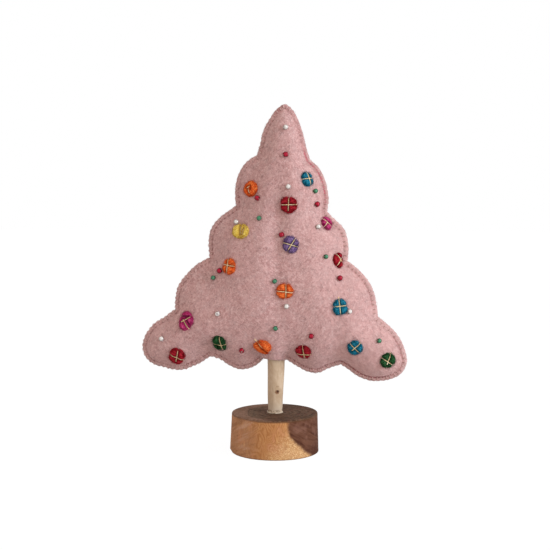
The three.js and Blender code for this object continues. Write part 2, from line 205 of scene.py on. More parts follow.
class Finish:
    """One material, with short calls for what the finishes here are built from."""

    def __init__(self, name):
        self.material = bpy.data.materials.new(name)
        self.material.use_nodes = True
        self.nodes = self.material.node_tree.nodes
        self.shader = self.nodes["Principled BSDF"]
        coordinates = self.nodes.new("ShaderNodeTexCoord")
        self.at = Value(self, coordinates.outputs["Object"])
        self.own_map = Value(self, coordinates.outputs["UV"])

    def feed(self, socket, value):
        """Gives an input its value, and a colour in the eye's 0 to 255."""
        if isinstance(value, Value):
            self.material.node_tree.links.new(value.socket, socket)
        else:
            socket.default_value = tint(*value) if socket.type == "RGBA" else value

    def node(self, kind, **inputs):
        node = self.nodes.new("ShaderNode" + kind)
        for name, value in inputs.items():
            self.feed(node.inputs[name.replace("_", " ")], value)
        return node

    def sum(self, kind, *values):
        node = self.node("Math")
        node.operation = kind
        for socket, value in zip(node.inputs, values):
            self.feed(socket, value)
        return Value(self, node.outputs[0])

    def place(self, scale=(1, 1, 1), turn=(0, 0, 0), shift=(0, 0, 0), source=None):
        node = self.node("Mapping", Vector=source or self.at, Scale=scale, Rotation=turn, Location=shift)
        return Value(self, node.outputs[0])

    def cloud(self, scale, detail=2.0, rough=0.5, bend=0.0, at=None):
        shape = {"Scale": scale, "Detail": detail, "Roughness": rough, "Distortion": bend}
        return Value(self, self.node("TexNoise", Vector=at or self.at, **shape).outputs["Fac"])

    def line(self, scale, width, bend, at=None):
        """Thin curly lines, where a cloud passes its middle value: the fibres of felt."""
        return abs(self.cloud(scale, 1.0, 0.5, bend, at) - 0.5).ramp(0.0, width, 1.0, 0.0)

    def axis(self, which, source=None):
        return Value(self, self.node("SeparateXYZ", Vector=source or self.at).outputs[which])

    def length(self, vector):
        node = self.node("VectorMath")
        node.operation = "LENGTH"
        self.feed(node.inputs[0], vector)
        return Value(self, node.outputs["Value"])

    def turned_away(self):
        """0 where the surface faces the eye, up to 1 where it is seen edge on."""
        return Value(self, self.node("LayerWeight").outputs["Facing"])

    def attribute(self, name):
        node = self.node("Attribute")
        node.attribute_name = name
        return Value(self, node.outputs["Fac"])

    def mix(self, share, first, second):
        node = self.nodes.new("ShaderNodeMix")
        node.data_type = "RGBA"
        for index, value in ((0, share), (6, first), (7, second)):
            self.feed(node.inputs[index], value)
        return Value(self, node.outputs[2])

    def coats(self, colour, *coats):
        """A colour under coats, each given as how far it covers and its colour."""
        for share, coat in coats:
            colour = self.mix(share, colour, coat)
        return colour

    def bump(self, height, depth, strength):
        node = self.node("Bump", Height=height, Distance=depth, Strength=strength)
        self.feed(self.shader.inputs["Normal"], Value(self, node.outputs[0]))

    def set(self, **values):
        for name, value in values.items():
            self.feed(self.shader.inputs[name.replace("_", " ")], value)
        return self.material


def felt_finish(name, body, pale, dark, fold, bloom, shift=(0, 0, 0)):
    """Wool felt: matted strands that lie this way and that, curly short fibres, pale and dark flecks, a soft
    bloom, and painted shade in the seam's folds. It is painted smoother, paler and less flecked at the right,
    as painted light where the lamp falls on it."""
    felt = Finish(name)
    at = felt.place(shift=shift)
    across = felt.axis(0, at)
    lamp_lit_side = (25 * MM, 60 * MM)

    def strands(lean):
        """Matted wool, drawn out in one way across the face of the sheet."""
        turned = felt.place(turn=(0, lean, 0), source=at)
        return felt.cloud(1.0, 2, 0.55, 0.3, felt.place((740, 740, 235), source=turned))

    lie = felt.cloud(34, 2, 0.5, 0, at)
    other_lie = felt.cloud(29, 2, 0.5, 0, felt.place(shift=(1.3, 0.6, 2.1)))
    hair = felt.mix(lie.ramp(0.42, 0.5), strands(0.12), strands(0.85))
    hair = felt.mix(other_lie.ramp(0.5, 0.58), hair, strands(-0.7))
    patch = felt.cloud(38, 3, 0.55, 0.6, at)
    speck = felt.cloud(980, 2, 0.6, 0.8, at)
    curl = felt.cloud(120, 2, 0.5, 0, at)
    dark_fibre = felt.line(300, 0.04, 2.4, at) * curl.ramp(0.42, 0.62)
    pale_fibre = felt.line(340, 0.04, 2.6, felt.place(shift=(3.1, 1.7, 0.4))) * curl.ramp(0.6, 0.4)
    # painted light: fewer dark flecks and dark fibres at the right, where the lamp falls
    flecks_fade_in_light = across.ramp(*lamp_lit_side, 1.15, 0.55)
    colour = felt.coats(
        felt.mix(hair.ramp(0.34, 0.62, 0.45, 1.0), dark, body),
        # painted light: the felt is painted paler towards the right, where the lamp falls
        (across.ramp(*lamp_lit_side, 0.0, 0.4), body),
        (hair.ramp(0.54, 0.72, 0.0, 0.4), pale),
        (patch.ramp(0.35, 0.68, 0.0, 0.35), body),
        (flecks_fade_in_light * speck.ramp(0.52, 0.7, 0.0, 0.6), pale),
        (flecks_fade_in_light * speck.ramp(0.46, 0.3, 0.0, 0.68), dark),
        (flecks_fade_in_light * dark_fibre * 0.5, dark),
        (pale_fibre * 0.5, pale),
        # painted shade along the seam's valley, in each stitch's dent, and along the rim at the upper right
        # and at the tip
        (felt.attribute("fold"), fold),
        # painted shade: a thin deep pink line in the seam's groove at the right of the upper tiers
        (felt.attribute("rose"), (190, 84, 96)),
    )
    felt.bump(hair * 0.7 + pale_fibre * 0.4 + speck * 0.6, 0.5 * MM, 0.8)
    return felt.set(
        Base_Color=colour, Roughness=0.95, Sheen_Weight=0.6, Sheen_Roughness=0.5, Sheen_Tint=bloom,
        Specular_IOR_Level=0.12,
    )


# pink felt: body, pale, dark, the painted shade of the seam, and the sheen's tint
pink_tones = ((207, 161, 154), (233, 199, 192), (164, 114, 110), (138, 70, 68), (252, 228, 224))
pink_felt = felt_finish("pink felt", *pink_tones)
pink_felt_back = felt_finish("pink felt back", *pink_tones, shift=(0.7, 0.3, 0.9))


def fibre_finish():
    """Loose wool fibres on the felt, each with its own tone between brown-mauve and pale pink."""
    fibre = Finish("pink felt fibres")
    tone = fibre.attribute("tone")
    colour = fibre.coats(
        fibre.mix(tone.ramp(0.0, 0.5), (148, 100, 98), (202, 156, 151)),
        (tone.ramp(0.5, 1.0), (232, 200, 196)),
        (fibre.cloud(700).ramp(0.4, 0.7, 0.0, 0.25), (190, 140, 136)),
    )
    return fibre.set(Base_Color=colour, Roughness=0.8, Sheen_Weight=0.2, Specular_IOR_Level=0.2)


def thread_finish(name, body, pale, dark, twist=1800.0, gloss=0.6):
    """Twisted sewing thread. Its own map runs round the thread in u and along it, in metres, in v."""
    thread = Finish(name)
    turn, run = (thread.axis(axis, thread.own_map) for axis in (0, 1))
    ply = (run * twist + turn * (2 * math.pi)).sine() * 0.5 + 0.5
    wear = thread.cloud(420, 2, 0.5, 0.5)
    colour = thread.coats(thread.mix(ply, dark, body), (wear.ramp(0.45, 0.75, 0.0, 0.7), pale))
    thread.bump(ply, 0.12 * MM, 0.8)
    return thread.set(Base_Color=colour, Roughness=gloss, Sheen_Weight=0.15, Specular_IOR_Level=0.35)


pale_thread = thread_finish("pale thread", (240, 230, 230), (252, 246, 246), (214, 200, 204))
pink_thread = thread_finish("pink thread", (206, 166, 156), (228, 194, 184), (150, 106, 98))
gold_thread = thread_finish("gold thread", (255, 234, 180), (255, 246, 218), (228, 184, 126), 2600.0, 0.42)


def dot_finish(name, body, pale, dark, fold):
    """The dots' felt is matted in streaks, along the first axis of each dot's own map, which is in metres."""
    felt = Finish(name)
    mottle = felt.cloud(520, 3, 0.6, 1.2)
    streak = felt.cloud(1.0, 3, 0.6, 0.6, felt.place((260, 1150, 1), source=felt.own_map))
    speck = felt.cloud(1050, 2, 0.6, 0.6)
    colour = felt.coats(
        felt.mix(mottle.ramp(0.3, 0.62, 0.1, 1.0), dark, body),
        (streak.ramp(0.47, 0.32, 0.0, 0.75), dark),
        (streak.ramp(0.5, 0.62, 0.0, 0.9), pale),
        (speck.ramp(0.52, 0.67, 0.0, 0.75), pale),
        # painted shade in the creases, the folds, towards the rim and under the pad
        (felt.attribute("fold"), fold),
    )
    felt.bump(speck * 0.5 + streak * 0.8 + mottle, 0.5 * MM, 0.8)
    return felt.set(
        Base_Color=colour, Roughness=0.95, Sheen_Weight=0.12, Sheen_Roughness=0.5, Sheen_Tint=pale,
        Specular_IOR_Level=0.1,
    )


# The dots' wool: its body, its pale and dark streaks, and the painted shade of its creases, folds and rim
dot_tones = {
    "teal": ((6, 96, 118), (52, 142, 166), (0, 62, 80), (0, 34, 44)),
    "orange": ((224, 84, 28), (250, 142, 72), (182, 52, 16), (122, 36, 10)),
    "red": ((146, 14, 26), (184, 44, 56), (102, 6, 12), (54, 3, 6)),
    "magenta": ((178, 38, 96), (208, 86, 134), (132, 18, 64), (82, 8, 40)),
    "yellow": ((222, 184, 70), (242, 216, 118), (192, 146, 50), (150, 104, 40)),
    "purple": ((108, 80, 124), (152, 126, 164), (66, 44, 80), (34, 22, 42)),
    "green": ((22, 64, 32), (58, 104, 60), (8, 36, 12), (4, 18, 5)),
}
dot_finishes = {colour: dot_finish(colour + " felt", *tones) for colour, tones in dot_tones.items()}


def bead_finish(name, body, deep, coat):
    """Glass bead: clear and bright where it is looked through, deep in colour towards its edge; the bright
    middle is painted light and the deep edge painted shade, set by the angle at which each spot is seen.
    """
    glass = Finish(name)
    cloudy = glass.cloud(420, 2, 0.5, 0.4).ramp(0.38, 0.66, 0.0, 0.35)
    # painted light in the middle and painted shade at the edge, by how far the surface turns from the eye
    edge = glass.turned_away().ramp(0.1, 0.72)
    colour = glass.mix(cloudy, glass.mix(edge, body, deep), deep)
    glass.bump(glass.cloud(900, 1), 0.05 * MM, 0.4)
    return glass.set(
        Base_Color=colour, Roughness=0.24, Coat_Weight=coat, Coat_Roughness=0.12, Specular_IOR_Level=0.2
    )


bead_finishes = {
    "white": bead_finish("white pearl", (230, 222, 212), (158, 146, 138), 0.5),
    "red": bead_finish("red glass", (174, 3, 42), (76, 0, 14), 0.06),
    "green": bead_finish("green glass", (72, 136, 98), (16, 52, 34), 0.15),
}


def base_side_colour(wood, across, up, fine, bands):
    """Sapwood, brown-pink at the left, then golden, and sandy low down, with dark heartwood at the right."""
    at_left = across.ramp(-6 * MM, -24 * MM)
    sandy = (up * -0.85 + across).ramp(-16 * MM, 11 * MM)
    sand = wood.cloud(1150, 2, 0.6, 0.3)
    contours = (wood.cloud(48, 2, 0.4, 0.5, wood.place((1, 1, 0.7))) * 150.0).sine()
    in_middle = (1.0 - at_left) * (1.0 - sandy)
    sapwood = wood.coats(
        wood.mix(at_left, (186, 128, 80), (176, 125, 90)),
        (wood.cloud(75, 2, 0.5, 0.5).ramp(0.48, 0.66, 0.0, 0.6), (194, 132, 96)),
        (sandy * 0.75, (200, 154, 106)),
        (bands.ramp(0.5, 0.7, 0.0, 0.65) * at_left, (202, 158, 130)),
        (bands.ramp(0.48, 0.32, 0.0, 0.6) * at_left, (140, 96, 66)),
        (contours.ramp(-0.2, 1.0) * (in_middle * 0.4 + 0.14), (156, 96, 50)),
        (fine.ramp(0.54, 0.7, 0.0, 0.4), (212, 160, 104)),
        (fine.ramp(0.44, 0.3, 0.0, 0.35), (150, 98, 60)),
        (sand.ramp(0.52, 0.64) * (sandy * 0.75 + 0.08), (236, 198, 146)),
        (sand.ramp(0.46, 0.34) * sandy * 0.5, (164, 112, 68)),
    )
    swirl = wood.cloud(130, 3, 0.6, 0.6) * (6 * MM) - 3 * MM
    slope = wood.sum("MAXIMUM", 20.5 * MM - up, 0.0) * 0.88
    inside = across + swirl - slope - 15.7 * MM
    falling = wood.place(turn=(0, -0.5, 0), source=wood.place(turn=(0, 0, -0.785)))
    figure = wood.cloud(190, 3, 0.6, 1.2, wood.place((0.2, 0.5, 1), source=falling))
    heartwood = wood.coats(
        wood.mix(figure.ramp(0.34, 0.66), (82, 48, 34), (112, 74, 56)),
        (figure.ramp(0.36, 0.27, 0.0, 0.7), (60, 32, 22)),
        (wood.cloud(95).ramp(0.5, 0.68, 0.0, 0.5), (134, 94, 78)),
        ((across - up).ramp(12 * MM, 34 * MM, 0.0, 0.45), (66, 36, 26)),
    )
    # a thin dark line round the foot, and a soft one under the top's edge
    foot_line = up.ramp(1.1 * MM, 0.3 * MM, 0.0, 0.6)
    edge_line = up.ramp(base_height - 2.6 * MM, base_height - 1.4 * MM) * (at_left * -0.6 + 0.75)
    return wood.coats(
        wood.mix(inside.ramp(-2.2 * MM, 1.8 * MM), sapwood, heartwood),
        (foot_line, (104, 68, 44)),
        (edge_line, (92, 60, 40)),
    )


def base_top_colour(wood, across, from_pith, ring):
    """A dark disc round the pith with a few dark rings, and paler outside it at the left, past a dark arc."""
    ring_depth = wood.cloud(60, 2, 0.5, 0, wood.place(shift=(0.3, 0.2, 0))).ramp(0.35, 0.65)
    red_mottle = wood.cloud(330, 2, 0.5, 0, wood.place(shift=(0.7, 0, 0)))
    fine = wood.cloud(480, 3, 0.65, 0.6)
    grey = wood.mix(fine.ramp(0.38, 0.64), (84, 64, 48), (124, 98, 76))
    pale = wood.mix(fine.ramp(0.34, 0.68), (114, 84, 66), (140, 107, 87))
    dark_arc = abs(from_pith - 36.2 * MM).ramp(0.0, 0.8 * MM, 0.5, 0.0)
    return wood.coats(
        wood.mix(fine.ramp(0.34, 0.68), (76, 54, 40), (111, 83, 64)),
        (ring.ramp(0.55, 1.0, 0.0, 0.85) * ring_depth, (46, 28, 18)),
        (red_mottle.ramp(0.58, 0.7, 0.0, 0.5), (112, 62, 54)),
        (from_pith.ramp(22 * MM, 34 * MM) * across.ramp(0.0, -20 * MM, 0.0, 0.7), grey),
        (from_pith.ramp(33.5 * MM, 39.5 * MM) * across.ramp(6 * MM, -16 * MM), pale),
        (dark_arc * across.ramp(12 * MM, -4 * MM), (44, 26, 18)),
    )


def base_finish():
    """A round of trunk wood: its side with a leaning figure, and its top with rings."""
    wood = Finish("base wood")
    across, up = wood.axis(0), wood.axis(2)
    fine = wood.cloud(560, 3, 0.6, 0.4, wood.place((1, 1, 0.25)))
    leaning = wood.place(turn=(0, 0.45, 0), source=wood.place(turn=(0, 0, 0.785)))
    bands = wood.cloud(250, 3, 0.55, 0.5, wood.place((0.13, 0.5, 1), source=leaning))
    pith_at = wood.place((1, 1, 0), shift=(-7 * MM, 1 * MM, 0))
    from_pith = wood.cloud(38, 3, 0.6, 0.4) * (9 * MM) + wood.length(pith_at)
    ring = (from_pith * 1050.0).sine() * 0.5 + 0.5
    on_top = (wood.cloud(260) * (1.2 * MM) + up).ramp(base_height - 1 * MM, base_height)
    side = base_side_colour(wood, across, up, fine, bands)
    colour = wood.mix(on_top, side, base_top_colour(wood, across, from_pith, ring))
    wood.bump(ring * on_top * 0.7 + fine + bands, 0.25 * MM, 0.5)
    return wood.set(Base_Color=colour, Roughness=fine.ramp(0.3, 0.7, 0.66, 0.8), Specular_IOR_Level=0.05)


def spot_share(wood, spot, wide, tall, uneven, low, high, share):
    """How far a wood's surface belongs to an uneven round spot on it."""
    scale = (1 / wide, 1 / wide, 1 / tall)
    shift = tuple(-place * size for place, size in zip(spot, scale))
    reach = wood.length(wood.place(scale, shift=shift)) - uneven / 2
    return (wood.cloud(800) * uneven + reach).ramp(low, high, share, 0.0)


def stick_finish():
    """Peeled twig: pale and smooth, softly mottled, with a knot, with glue and dust at its foot, and with
    painted shade down its sides.
    """
    wood = Finish("stick wood")
    up = wood.axis(2)
    grain = wood.cloud(330, 3, 0.5, 0.5, wood.place((1, 1, 0.14)))
    mottle = wood.cloud(120, 3, 0.55, 0.6, wood.place((1, 1, 0.55), shift=(0.2, 0.5, 0.1)))
    pale_streak = wood.cloud(420, 2, 0.5, 0, wood.place((1, 1, 0.5)))
    knot_core = (knot_place[0] + 0.5 * MM, knot_place[1], knot_place[2] + 0.6 * MM)
    glued = [base_height + above * MM for above in (0.8, 1.4, 3.4, 2.2)]
    dust = wood.cloud(420, 3, 0.6, 0.8, wood.place(shift=(0.3, 0, 0))).ramp(0.44, 0.6, 0.0, 0.7)
    colour = wood.coats(
        wood.mix(mottle.ramp(0.34, 0.66), (185, 155, 124), (205, 178, 148)),
        (grain.ramp(0.42, 0.28, 0.0, 0.4), (164, 132, 102)),
        (pale_streak.ramp(0.56, 0.7, 0.0, 0.3), (216, 194, 166)),
        (up.ramp(47 * MM, 38 * MM, 0.0, 0.6), (208, 188, 164)),
        (spot_share(wood, knot_place, 2.2 * MM, 2.3 * MM, 0.7, 0.55, 1.15, 0.9), (132, 88, 56)),
        (spot_share(wood, knot_core, 1.4 * MM, 1.5 * MM, 0.6, 0.5, 1.1, 0.9), (66, 38, 26)),
        (spot_share(wood, mark_place, 1.5 * MM, 0.8 * MM, 0.8, 0.5, 1.2, 0.5), (140, 110, 78)),
        (up.ramp(*glued[:2]) * up.ramp(*glued[2:]) * dust, (84, 60, 42)),
        # painted shade down the stick's sides, where it turns away from the eye
        (wood.turned_away().ramp(0.62, 1.0, 0.0, 0.6), (136, 112, 94)),
    )
    wood.bump(mottle * 0.8 + grain, 0.2 * MM, 0.4)
    return wood.set(Base_Color=colour, Roughness=0.72, Specular_IOR_Level=0.25)


def glue_finish():
    """Dried glue, cloudy and pale, with wood dust caught in it."""
    glue = Finish("dried glue")
    colour = glue.coats(
        glue.mix(glue.cloud(300).ramp(0.35, 0.65), (176, 156, 130), (208, 192, 168)),
        (glue.cloud(900, 2, 0.6, 0.3).ramp(0.52, 0.66, 0.0, 0.6), (104, 80, 58)),
    )
    glue.bump(glue.cloud(600), 0.2 * MM, 0.6)
    return glue.set(Base_Color=colour, Roughness=0.4, Specular_IOR_Level=0.5)


def stuffing_finish():
    """Loose white fill."""
    fill = Finish("stuffing fibre")
    colour = fill.mix(fill.cloud(240, 4, 0.7, 2.0).ramp(0.35, 0.65), (214, 208, 198), (242, 238, 230))
    fill.bump(fill.line(220, 0.08, 2.5), 0.6 * MM, 0.7)
    return fill.set(Base_Color=colour, Roughness=0.95, Sheen_Weight=0.4, Specular_IOR_Level=0.1)


# Meshes


def make_piece(name, points, faces, material):
    mesh = bpy.data.meshes.new(name)
    mesh.from_pydata([tuple(point) for point in points], [], [tuple(face) for face in faces])
    mesh.materials.append(material)
    mesh.polygons.foreach_set("use_smooth", [True] * len(mesh.polygons))
    mesh.update()
    return add_object(name, mesh)


def points_of(piece, kind="co"):
    """A piece's points, or with the kind normal, the way that each faces."""
    return np.array([getattr(vertex, kind) for vertex in piece.data.vertices])


def add_values(piece, name, values):
    values = np.asarray(values, np.float32)
    piece.data.attributes.new(name, "FLOAT", "POINT").data.foreach_set("value", values)


def add_map(piece, corners):
    """Gives a piece its own map, from a place for each corner of each face."""
    layer = piece.data.uv_layers.new(name="UVMap")
    layer.data.foreach_set("uv", [value for corner in corners for value in corner])


def finish_piece(piece, slot=None, stands_for=()):
    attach(piece, "root")
    if stands_for:
        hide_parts(*stands_for)


def tube_piece(name, paths, radius, material, sides=6):
    """Closed round tubes along several paths, with a map that runs round and along each."""
    points, faces, corners = [], [], []
    for path in paths:
        path = np.asarray(path, float)
        first = len(points)
        ways = unit(np.gradient(path, axis=0))
        lean = np.array((0.0, 0.0, 1.0)) if abs(ways[0][2]) < 0.9 else np.array((1.0, 0.0, 0.0))
        along = 0.0
        for i, (spot, way) in enumerate(zip(path, ways)):
            lean = lean - way * lean.dot(way)
            lean /= np.linalg.norm(lean)
            other = np.cross(way, lean)
            thick = radius[i] if hasattr(radius, "__len__") else radius
            for side in range(sides):
                turn = 2 * math.pi * side / sides
                points.append(spot + thick * (lean * math.cos(turn) + other * math.sin(turn)))
            if i:
                start = first + (i - 1) * sides
                gone = along
                along += float(np.linalg.norm(spot - path[i - 1]))
                for side in range(sides):
                    after = (side + 1) % sides
                    faces.append((start + side, start + after, start + sides + after, start + sides + side))
                    low, high = side / sides, (side + 1) / sides
                    corners += [(low, gone), (high, gone), (high, along), (low, along)]
        last = first + (len(path) - 1) * sides
        faces.append(tuple(first + side for side in reversed(range(sides))))
        corners += [(side / sides, 0.0) for side in reversed(range(sides))]
        faces.append(tuple(last + side for side in range(sides)))
        corners += [(side / sides, along) for side in range(sides)]
    piece = make_piece(name, points, faces, material)
    add_map(piece, corners)
    return piece


def unit(rows):
    return rows / np.linalg.norm(rows, axis=1)[:, None]


def smooth_step(value, low, high):
    share = np.clip((np.asarray(value, float) - low) / (high - low), 0, 1)
    return share * share * (3 - 2 * share)


def lumps(points, size, seed):
    """Soft noise from -1 to 1 at each point, with lumps of about that size."""
    shift = Vector((17.3 * seed, 5.1 * seed, 31.7 * seed))
    return np.array([noise.noise(Vector((*point, 0, 0)[:3]) / size + shift) for point in points])


def noise_at(*spot):
    return noise.noise(Vector(spot))


def noise_round(turn, size, level):
    """Noise that meets itself after a whole turn."""
    return noise_at(size * math.cos(turn), size * math.sin(turn), level)


def bell(gap, width):
    """1 at no gap, falling softly to nothing past the width."""
    return np.exp(-((gap / width) ** 2))


def swells(spots, table):
    """Rounded swells: each a place across and up, a half width, a half height and a rise, in millimetres."""
    total = np.zeros(len(spots))
    for across, up, wide, tall, rise in table:
        gap = np.hypot((spots[:, 0] - across * MM) / (wide * MM), (spots[:, 1] - up * MM) / (tall * MM))
        total += rise * MM * bell(gap, 1)
    return total


# Outline of the felt, from the rim of the CAD sheet

notch_turn = math.radians(-20)
mouth_corner_turn = math.radians(12)
outline_step = 0.65 * MM
inside_height = 133 * MM


def by_mouth(spots, half_width, half_height):
    """Whether each spot is this near to the middle of the mouth, where the stick goes in."""
    return (np.abs(spots[:, 0]) < half_width) & (np.abs(spots[:, 1] - neck_height) < half_height)


def rim_corners():
    """The corners of the CAD sheet's rim, in their order round a place inside the tree."""
    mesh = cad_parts["front_panel"].data
    found = {
        (round(point.x, 5), round(point.z, 5)): (point.x, point.z)
        for face in mesh.polygons if abs(face.normal.y) < 0.001
        for point in (mesh.vertices[index].co for index in face.vertices)
    }
    corners = np.array(list(found.values()))
    turn = np.arctan2(corners[:, 1] - inside_height, corners[:, 0])
    return corners[np.argsort(turn)]


def fine_outline(corners):
    """A smooth closed line through the corners, sharp at the notches and at the mouth, and the notches."""
    count = len(corners)
    back = corners - np.roll(corners, 1, axis=0)
    ahead = np.roll(corners, -1, axis=0) - corners
    turn = np.arctan2(back[:, 0] * ahead[:, 1] - back[:, 1] * ahead[:, 0], (back * ahead).sum(axis=1))
    sharp = (turn < notch_turn) | (by_mouth(corners, 12.5 * MM, 4 * MM) & (turn > mouth_corner_turn))
    points, notches = [], []
    for i in range(count):
        j = (i + 1) % count
        here, there = corners[i], corners[j]
        leave = ahead[i] if sharp[i] else (ahead[i] + back[i]) / 2
        arrive = ahead[i] if sharp[j] else (ahead[i] + ahead[j]) / 2
        length = np.linalg.norm(ahead[i])
        pieces = max(1, round(length / outline_step))
        for piece in range(pieces):
            t = piece / pieces
            from_here, from_there = 2 * t**3 - 3 * t**2 + 1, 3 * t**2 - 2 * t**3
            left, arrived = t**3 - 2 * t**2 + t, t**3 - t**2
            points.append(from_here * here + left * leave + from_there * there + arrived * arrive)
        if turn[i] < notch_turn:
            inward = -(back[i] / np.linalg.norm(back[i]) - ahead[i] / length)
            notches.append((here, inward / np.linalg.norm(inward)))
    return np.array(points), notches


def walk(points):
    """For a closed line: each point's next, the run to it, the distance so far, and the way inwards."""
    after = np.roll(points, -1, axis=0)
    run = np.linalg.norm(after - points, axis=1)
    so_far = np.concatenate(([0], np.cumsum(run)[:-1]))
    way = unit(after - np.roll(points, 1, axis=0))
    return after, run, so_far, np.column_stack((-way[:, 1], way[:, 0]))


# How far the sewn edge stands out from the sheet's cut line, in millimetres, at even steps round it
edge_trim = (
    -0.2, -1.2, 0.0, 0.0, 0.7, 0.2, -0.8, -0.2, 0.6, 0.2, -1.0, -0.4, -0.1, -0.1, 0.2, -0.9,
    -1.0, -0.3, -0.5, 0.2, -0.5, -1.1, 0.1, 0.4, 0.7, 1.5, 1.5, 1.3, 0.4, 0.4, 0.7, 0.6,
    1.0, 0.9, 0.8, 0.5, 1.0, 1.3, 0.7, 0.2, 0.8, 1.0, 0.9, 0.4, 0.6, 0.7, 0.6, 0.4,
    -0.1, -0.7, -0.6, -0.7, -0.5, -0.7, -0.8, 0.1, 0.0, -1.1, -0.7, 0.0, 0.0, 0.0, 0.4, -0.3,
    -0.1, 0.1,
)

cut_line, notches = fine_outline(rim_corners())
cut_run, cut_at, cut_inward = walk(cut_line)[1:]
trim_places = np.linspace(0, cut_run.sum(), len(edge_trim) + 1)
trim = np.interp(cut_at, trim_places, edge_trim + edge_trim[:1]) * MM
outline = cut_line - cut_inward * trim[:, None]
outline_next, outline_run, outline_at, outline_inward = walk(outline)
outline_length = float(outline_run.sum())
outline_at_closed = np.append(outline_at, outline_length)
spots_at_once = 3000


def read_edge(spots):
    """For each (across, up): the stuffing's reach from all edges, the distance to the nearest edge, and the
    place along the outline that is nearest."""
    reach, near, along = [], [], []
    run = (outline_next - outline) / outline_run[:, None]
    for part in np.array_split(np.asarray(spots, float), max(1, len(spots) // spots_at_once)):
        gap = part[:, None, :] - outline[None, :, :]
        start = (gap * run).sum(axis=2)
        aside = np.maximum(np.abs(gap[:, :, 0] * run[:, 1] - gap[:, :, 1] * run[:, 0]), 1e-6)
        head = outline_run - start
        pull = (start / np.hypot(start, aside) + head / np.hypot(head, aside)) / aside**2
        reach.append(np.sqrt(2 / pull.sum(axis=1)))
        clipped = np.clip(start, 0, outline_run)
        distance = np.hypot(start - clipped, aside)
        nearest = distance.argmin(axis=1)
        rows = np.arange(len(part))
        near.append(distance[rows, nearest])
        along.append(outline_at[nearest] + clipped[rows, nearest])
    return np.concatenate(reach), np.concatenate(near), np.concatenate(along)


# Where the whip stitches are: all round, except over the mouth

mouth_points = np.flatnonzero(by_mouth(outline, 9.9 * MM, 2.2 * MM))
mouth_start, mouth_end = (float(outline_at[mouth_points[end]]) for end in (0, -1))
sewn_length = outline_length - (mouth_end - mouth_start)
stitch_count = round(sewn_length / stitch_pitch)
stitch_gap = sewn_length / stitch_count
stitch_slip = 0.45
stitch_pull = (0.55, 1.15)


def sewn_place(along):
    return np.mod(along - mouth_end, outline_length)


def sew():
    """Where each stitch goes into the felt, and how hard it is pulled: by hand, so not quite even."""
    chance = random.Random(5)
    even = [(number + 0.5) * stitch_gap for number in range(stitch_count)]
    places = [place + chance.uniform(-stitch_slip, stitch_slip) * MM for place in even]
    pulls = [chance.uniform(*stitch_pull) for _ in places]
    return np.array(places), np.array(pulls)


stitch_places, stitch_pulls = sew()


def stitch_wave(along, ahead=0.0):
    """About 1 at a stitch and 0 half way between two, and 0 over the mouth."""
    place = sewn_place(along) - ahead
    after = np.clip(np.searchsorted(stitch_places, place), 1, stitch_count - 1)
    nearest = np.where(place - stitch_places[after - 1] < stitch_places[after] - place, after - 1, after)
    gap = np.abs(place - stitch_places[nearest])
    wave = 0.5 + 0.5 * np.cos(2 * math.pi * np.minimum(gap / stitch_gap, 0.5))
    return np.where(place < sewn_length, wave * stitch_pulls[nearest], 0.0)


def sewn_share(along):
    place = sewn_place(along)
    inside = np.minimum(place, sewn_length - place)
    return smooth_step(inside, -0.5 * MM, 3 * MM)


# Zones of the edge that are sewn, shaped or given painted shade unlike the rest. Each limit says which way it
# goes, 0 for across and 1 for up, and where the zone begins and where it is full, in millimetres.
zones = {
    "foot": ((1, 112, 90),),
    "right foot": ((0, 80, 90), (1, 108, 100)),
    "lower right": ((0, 50, 65), (1, 178, 168)),
    "lower left": ((0, -30, -50), (1, 200, 170)),
    "upper right": ((0, 0, 10), (1, 205, 235), (1, 302, 292)),
    "slack stretch": ((0, 60, 75), (1, 104, 112), (1, 138, 128)),
    "shaded cut edge": ((0, 4, 12), (1, 214, 224), (1, 272, 262)),
    "cone": ((1, 235, 262),),
    "beside the cone": ((1, 246, 262),),
    "tip": ((1, 293, 300),),
}


def zone(name, across_and_up):
    share = 1.0
    for axis, begins, is_full in zones[name]:
        share = share * smooth_step(across_and_up[axis], begins * MM, is_full * MM)
    return share


def edge_zone(name, along):
    """How far each place along the outline belongs to a zone."""
    return zone(name, [np.interp(along, outline_at_closed, np.append(line, line[0])) for line in outline.T])


def seam_tightness(along):
    """The seam is pulled more or less hard along its way: hardest at the foot, softest at the upper right."""
    tight = np.clip(0.75 + 1.1 * lumps(along[:, None], 34 * MM, 41), 0.3, 1.15)
    for name, change in (("cone", -0.3), ("upper right", -0.92), ("foot", 0.6), ("slack stretch", -0.8)):
        tight = tight * (1 + change * edge_zone(name, along))
    return tight


def rose_shade_line(spots, near):
    """A thin deep pink line of painted shade in the seam's groove at the right of the upper tiers, where the
    front sheet's cut edge shows.
    """
    broken = np.clip(0.75 + 1.1 * lumps(spots, 5 * MM, 47), 0.2, 1)
    return zone("shaded cut edge", spots.T) * broken * bell(near - 2.5 * MM, 0.6 * MM)


# Dots and beads, where the CAD has them


def middles(kind):
    names = sorted(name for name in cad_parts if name.startswith(kind))
    return {name: sum(map(np.array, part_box(name))) / 2 for name in names}


dot_middles = middles("dot_")
bead_middles = middles("bead_")


# Shape of the stuffed felt

# How far from the edge the lines of points run, in millimetres: the outer face's, and the inner face's
outer_bands = (0.35, 0.8, 1.3, 1.9, 2.5, 3.0, 3.45, 3.9, 4.35, 4.9, 5.5, 6.2, 7.0, 7.9, 8.8)
inner_bands = (1.6, 3.6, 6.0)
outer_step = 1.15 * MM
inner_step = 3.4 * MM
pillow_step = 4.2 * MM
least_step = 0.55 * MM

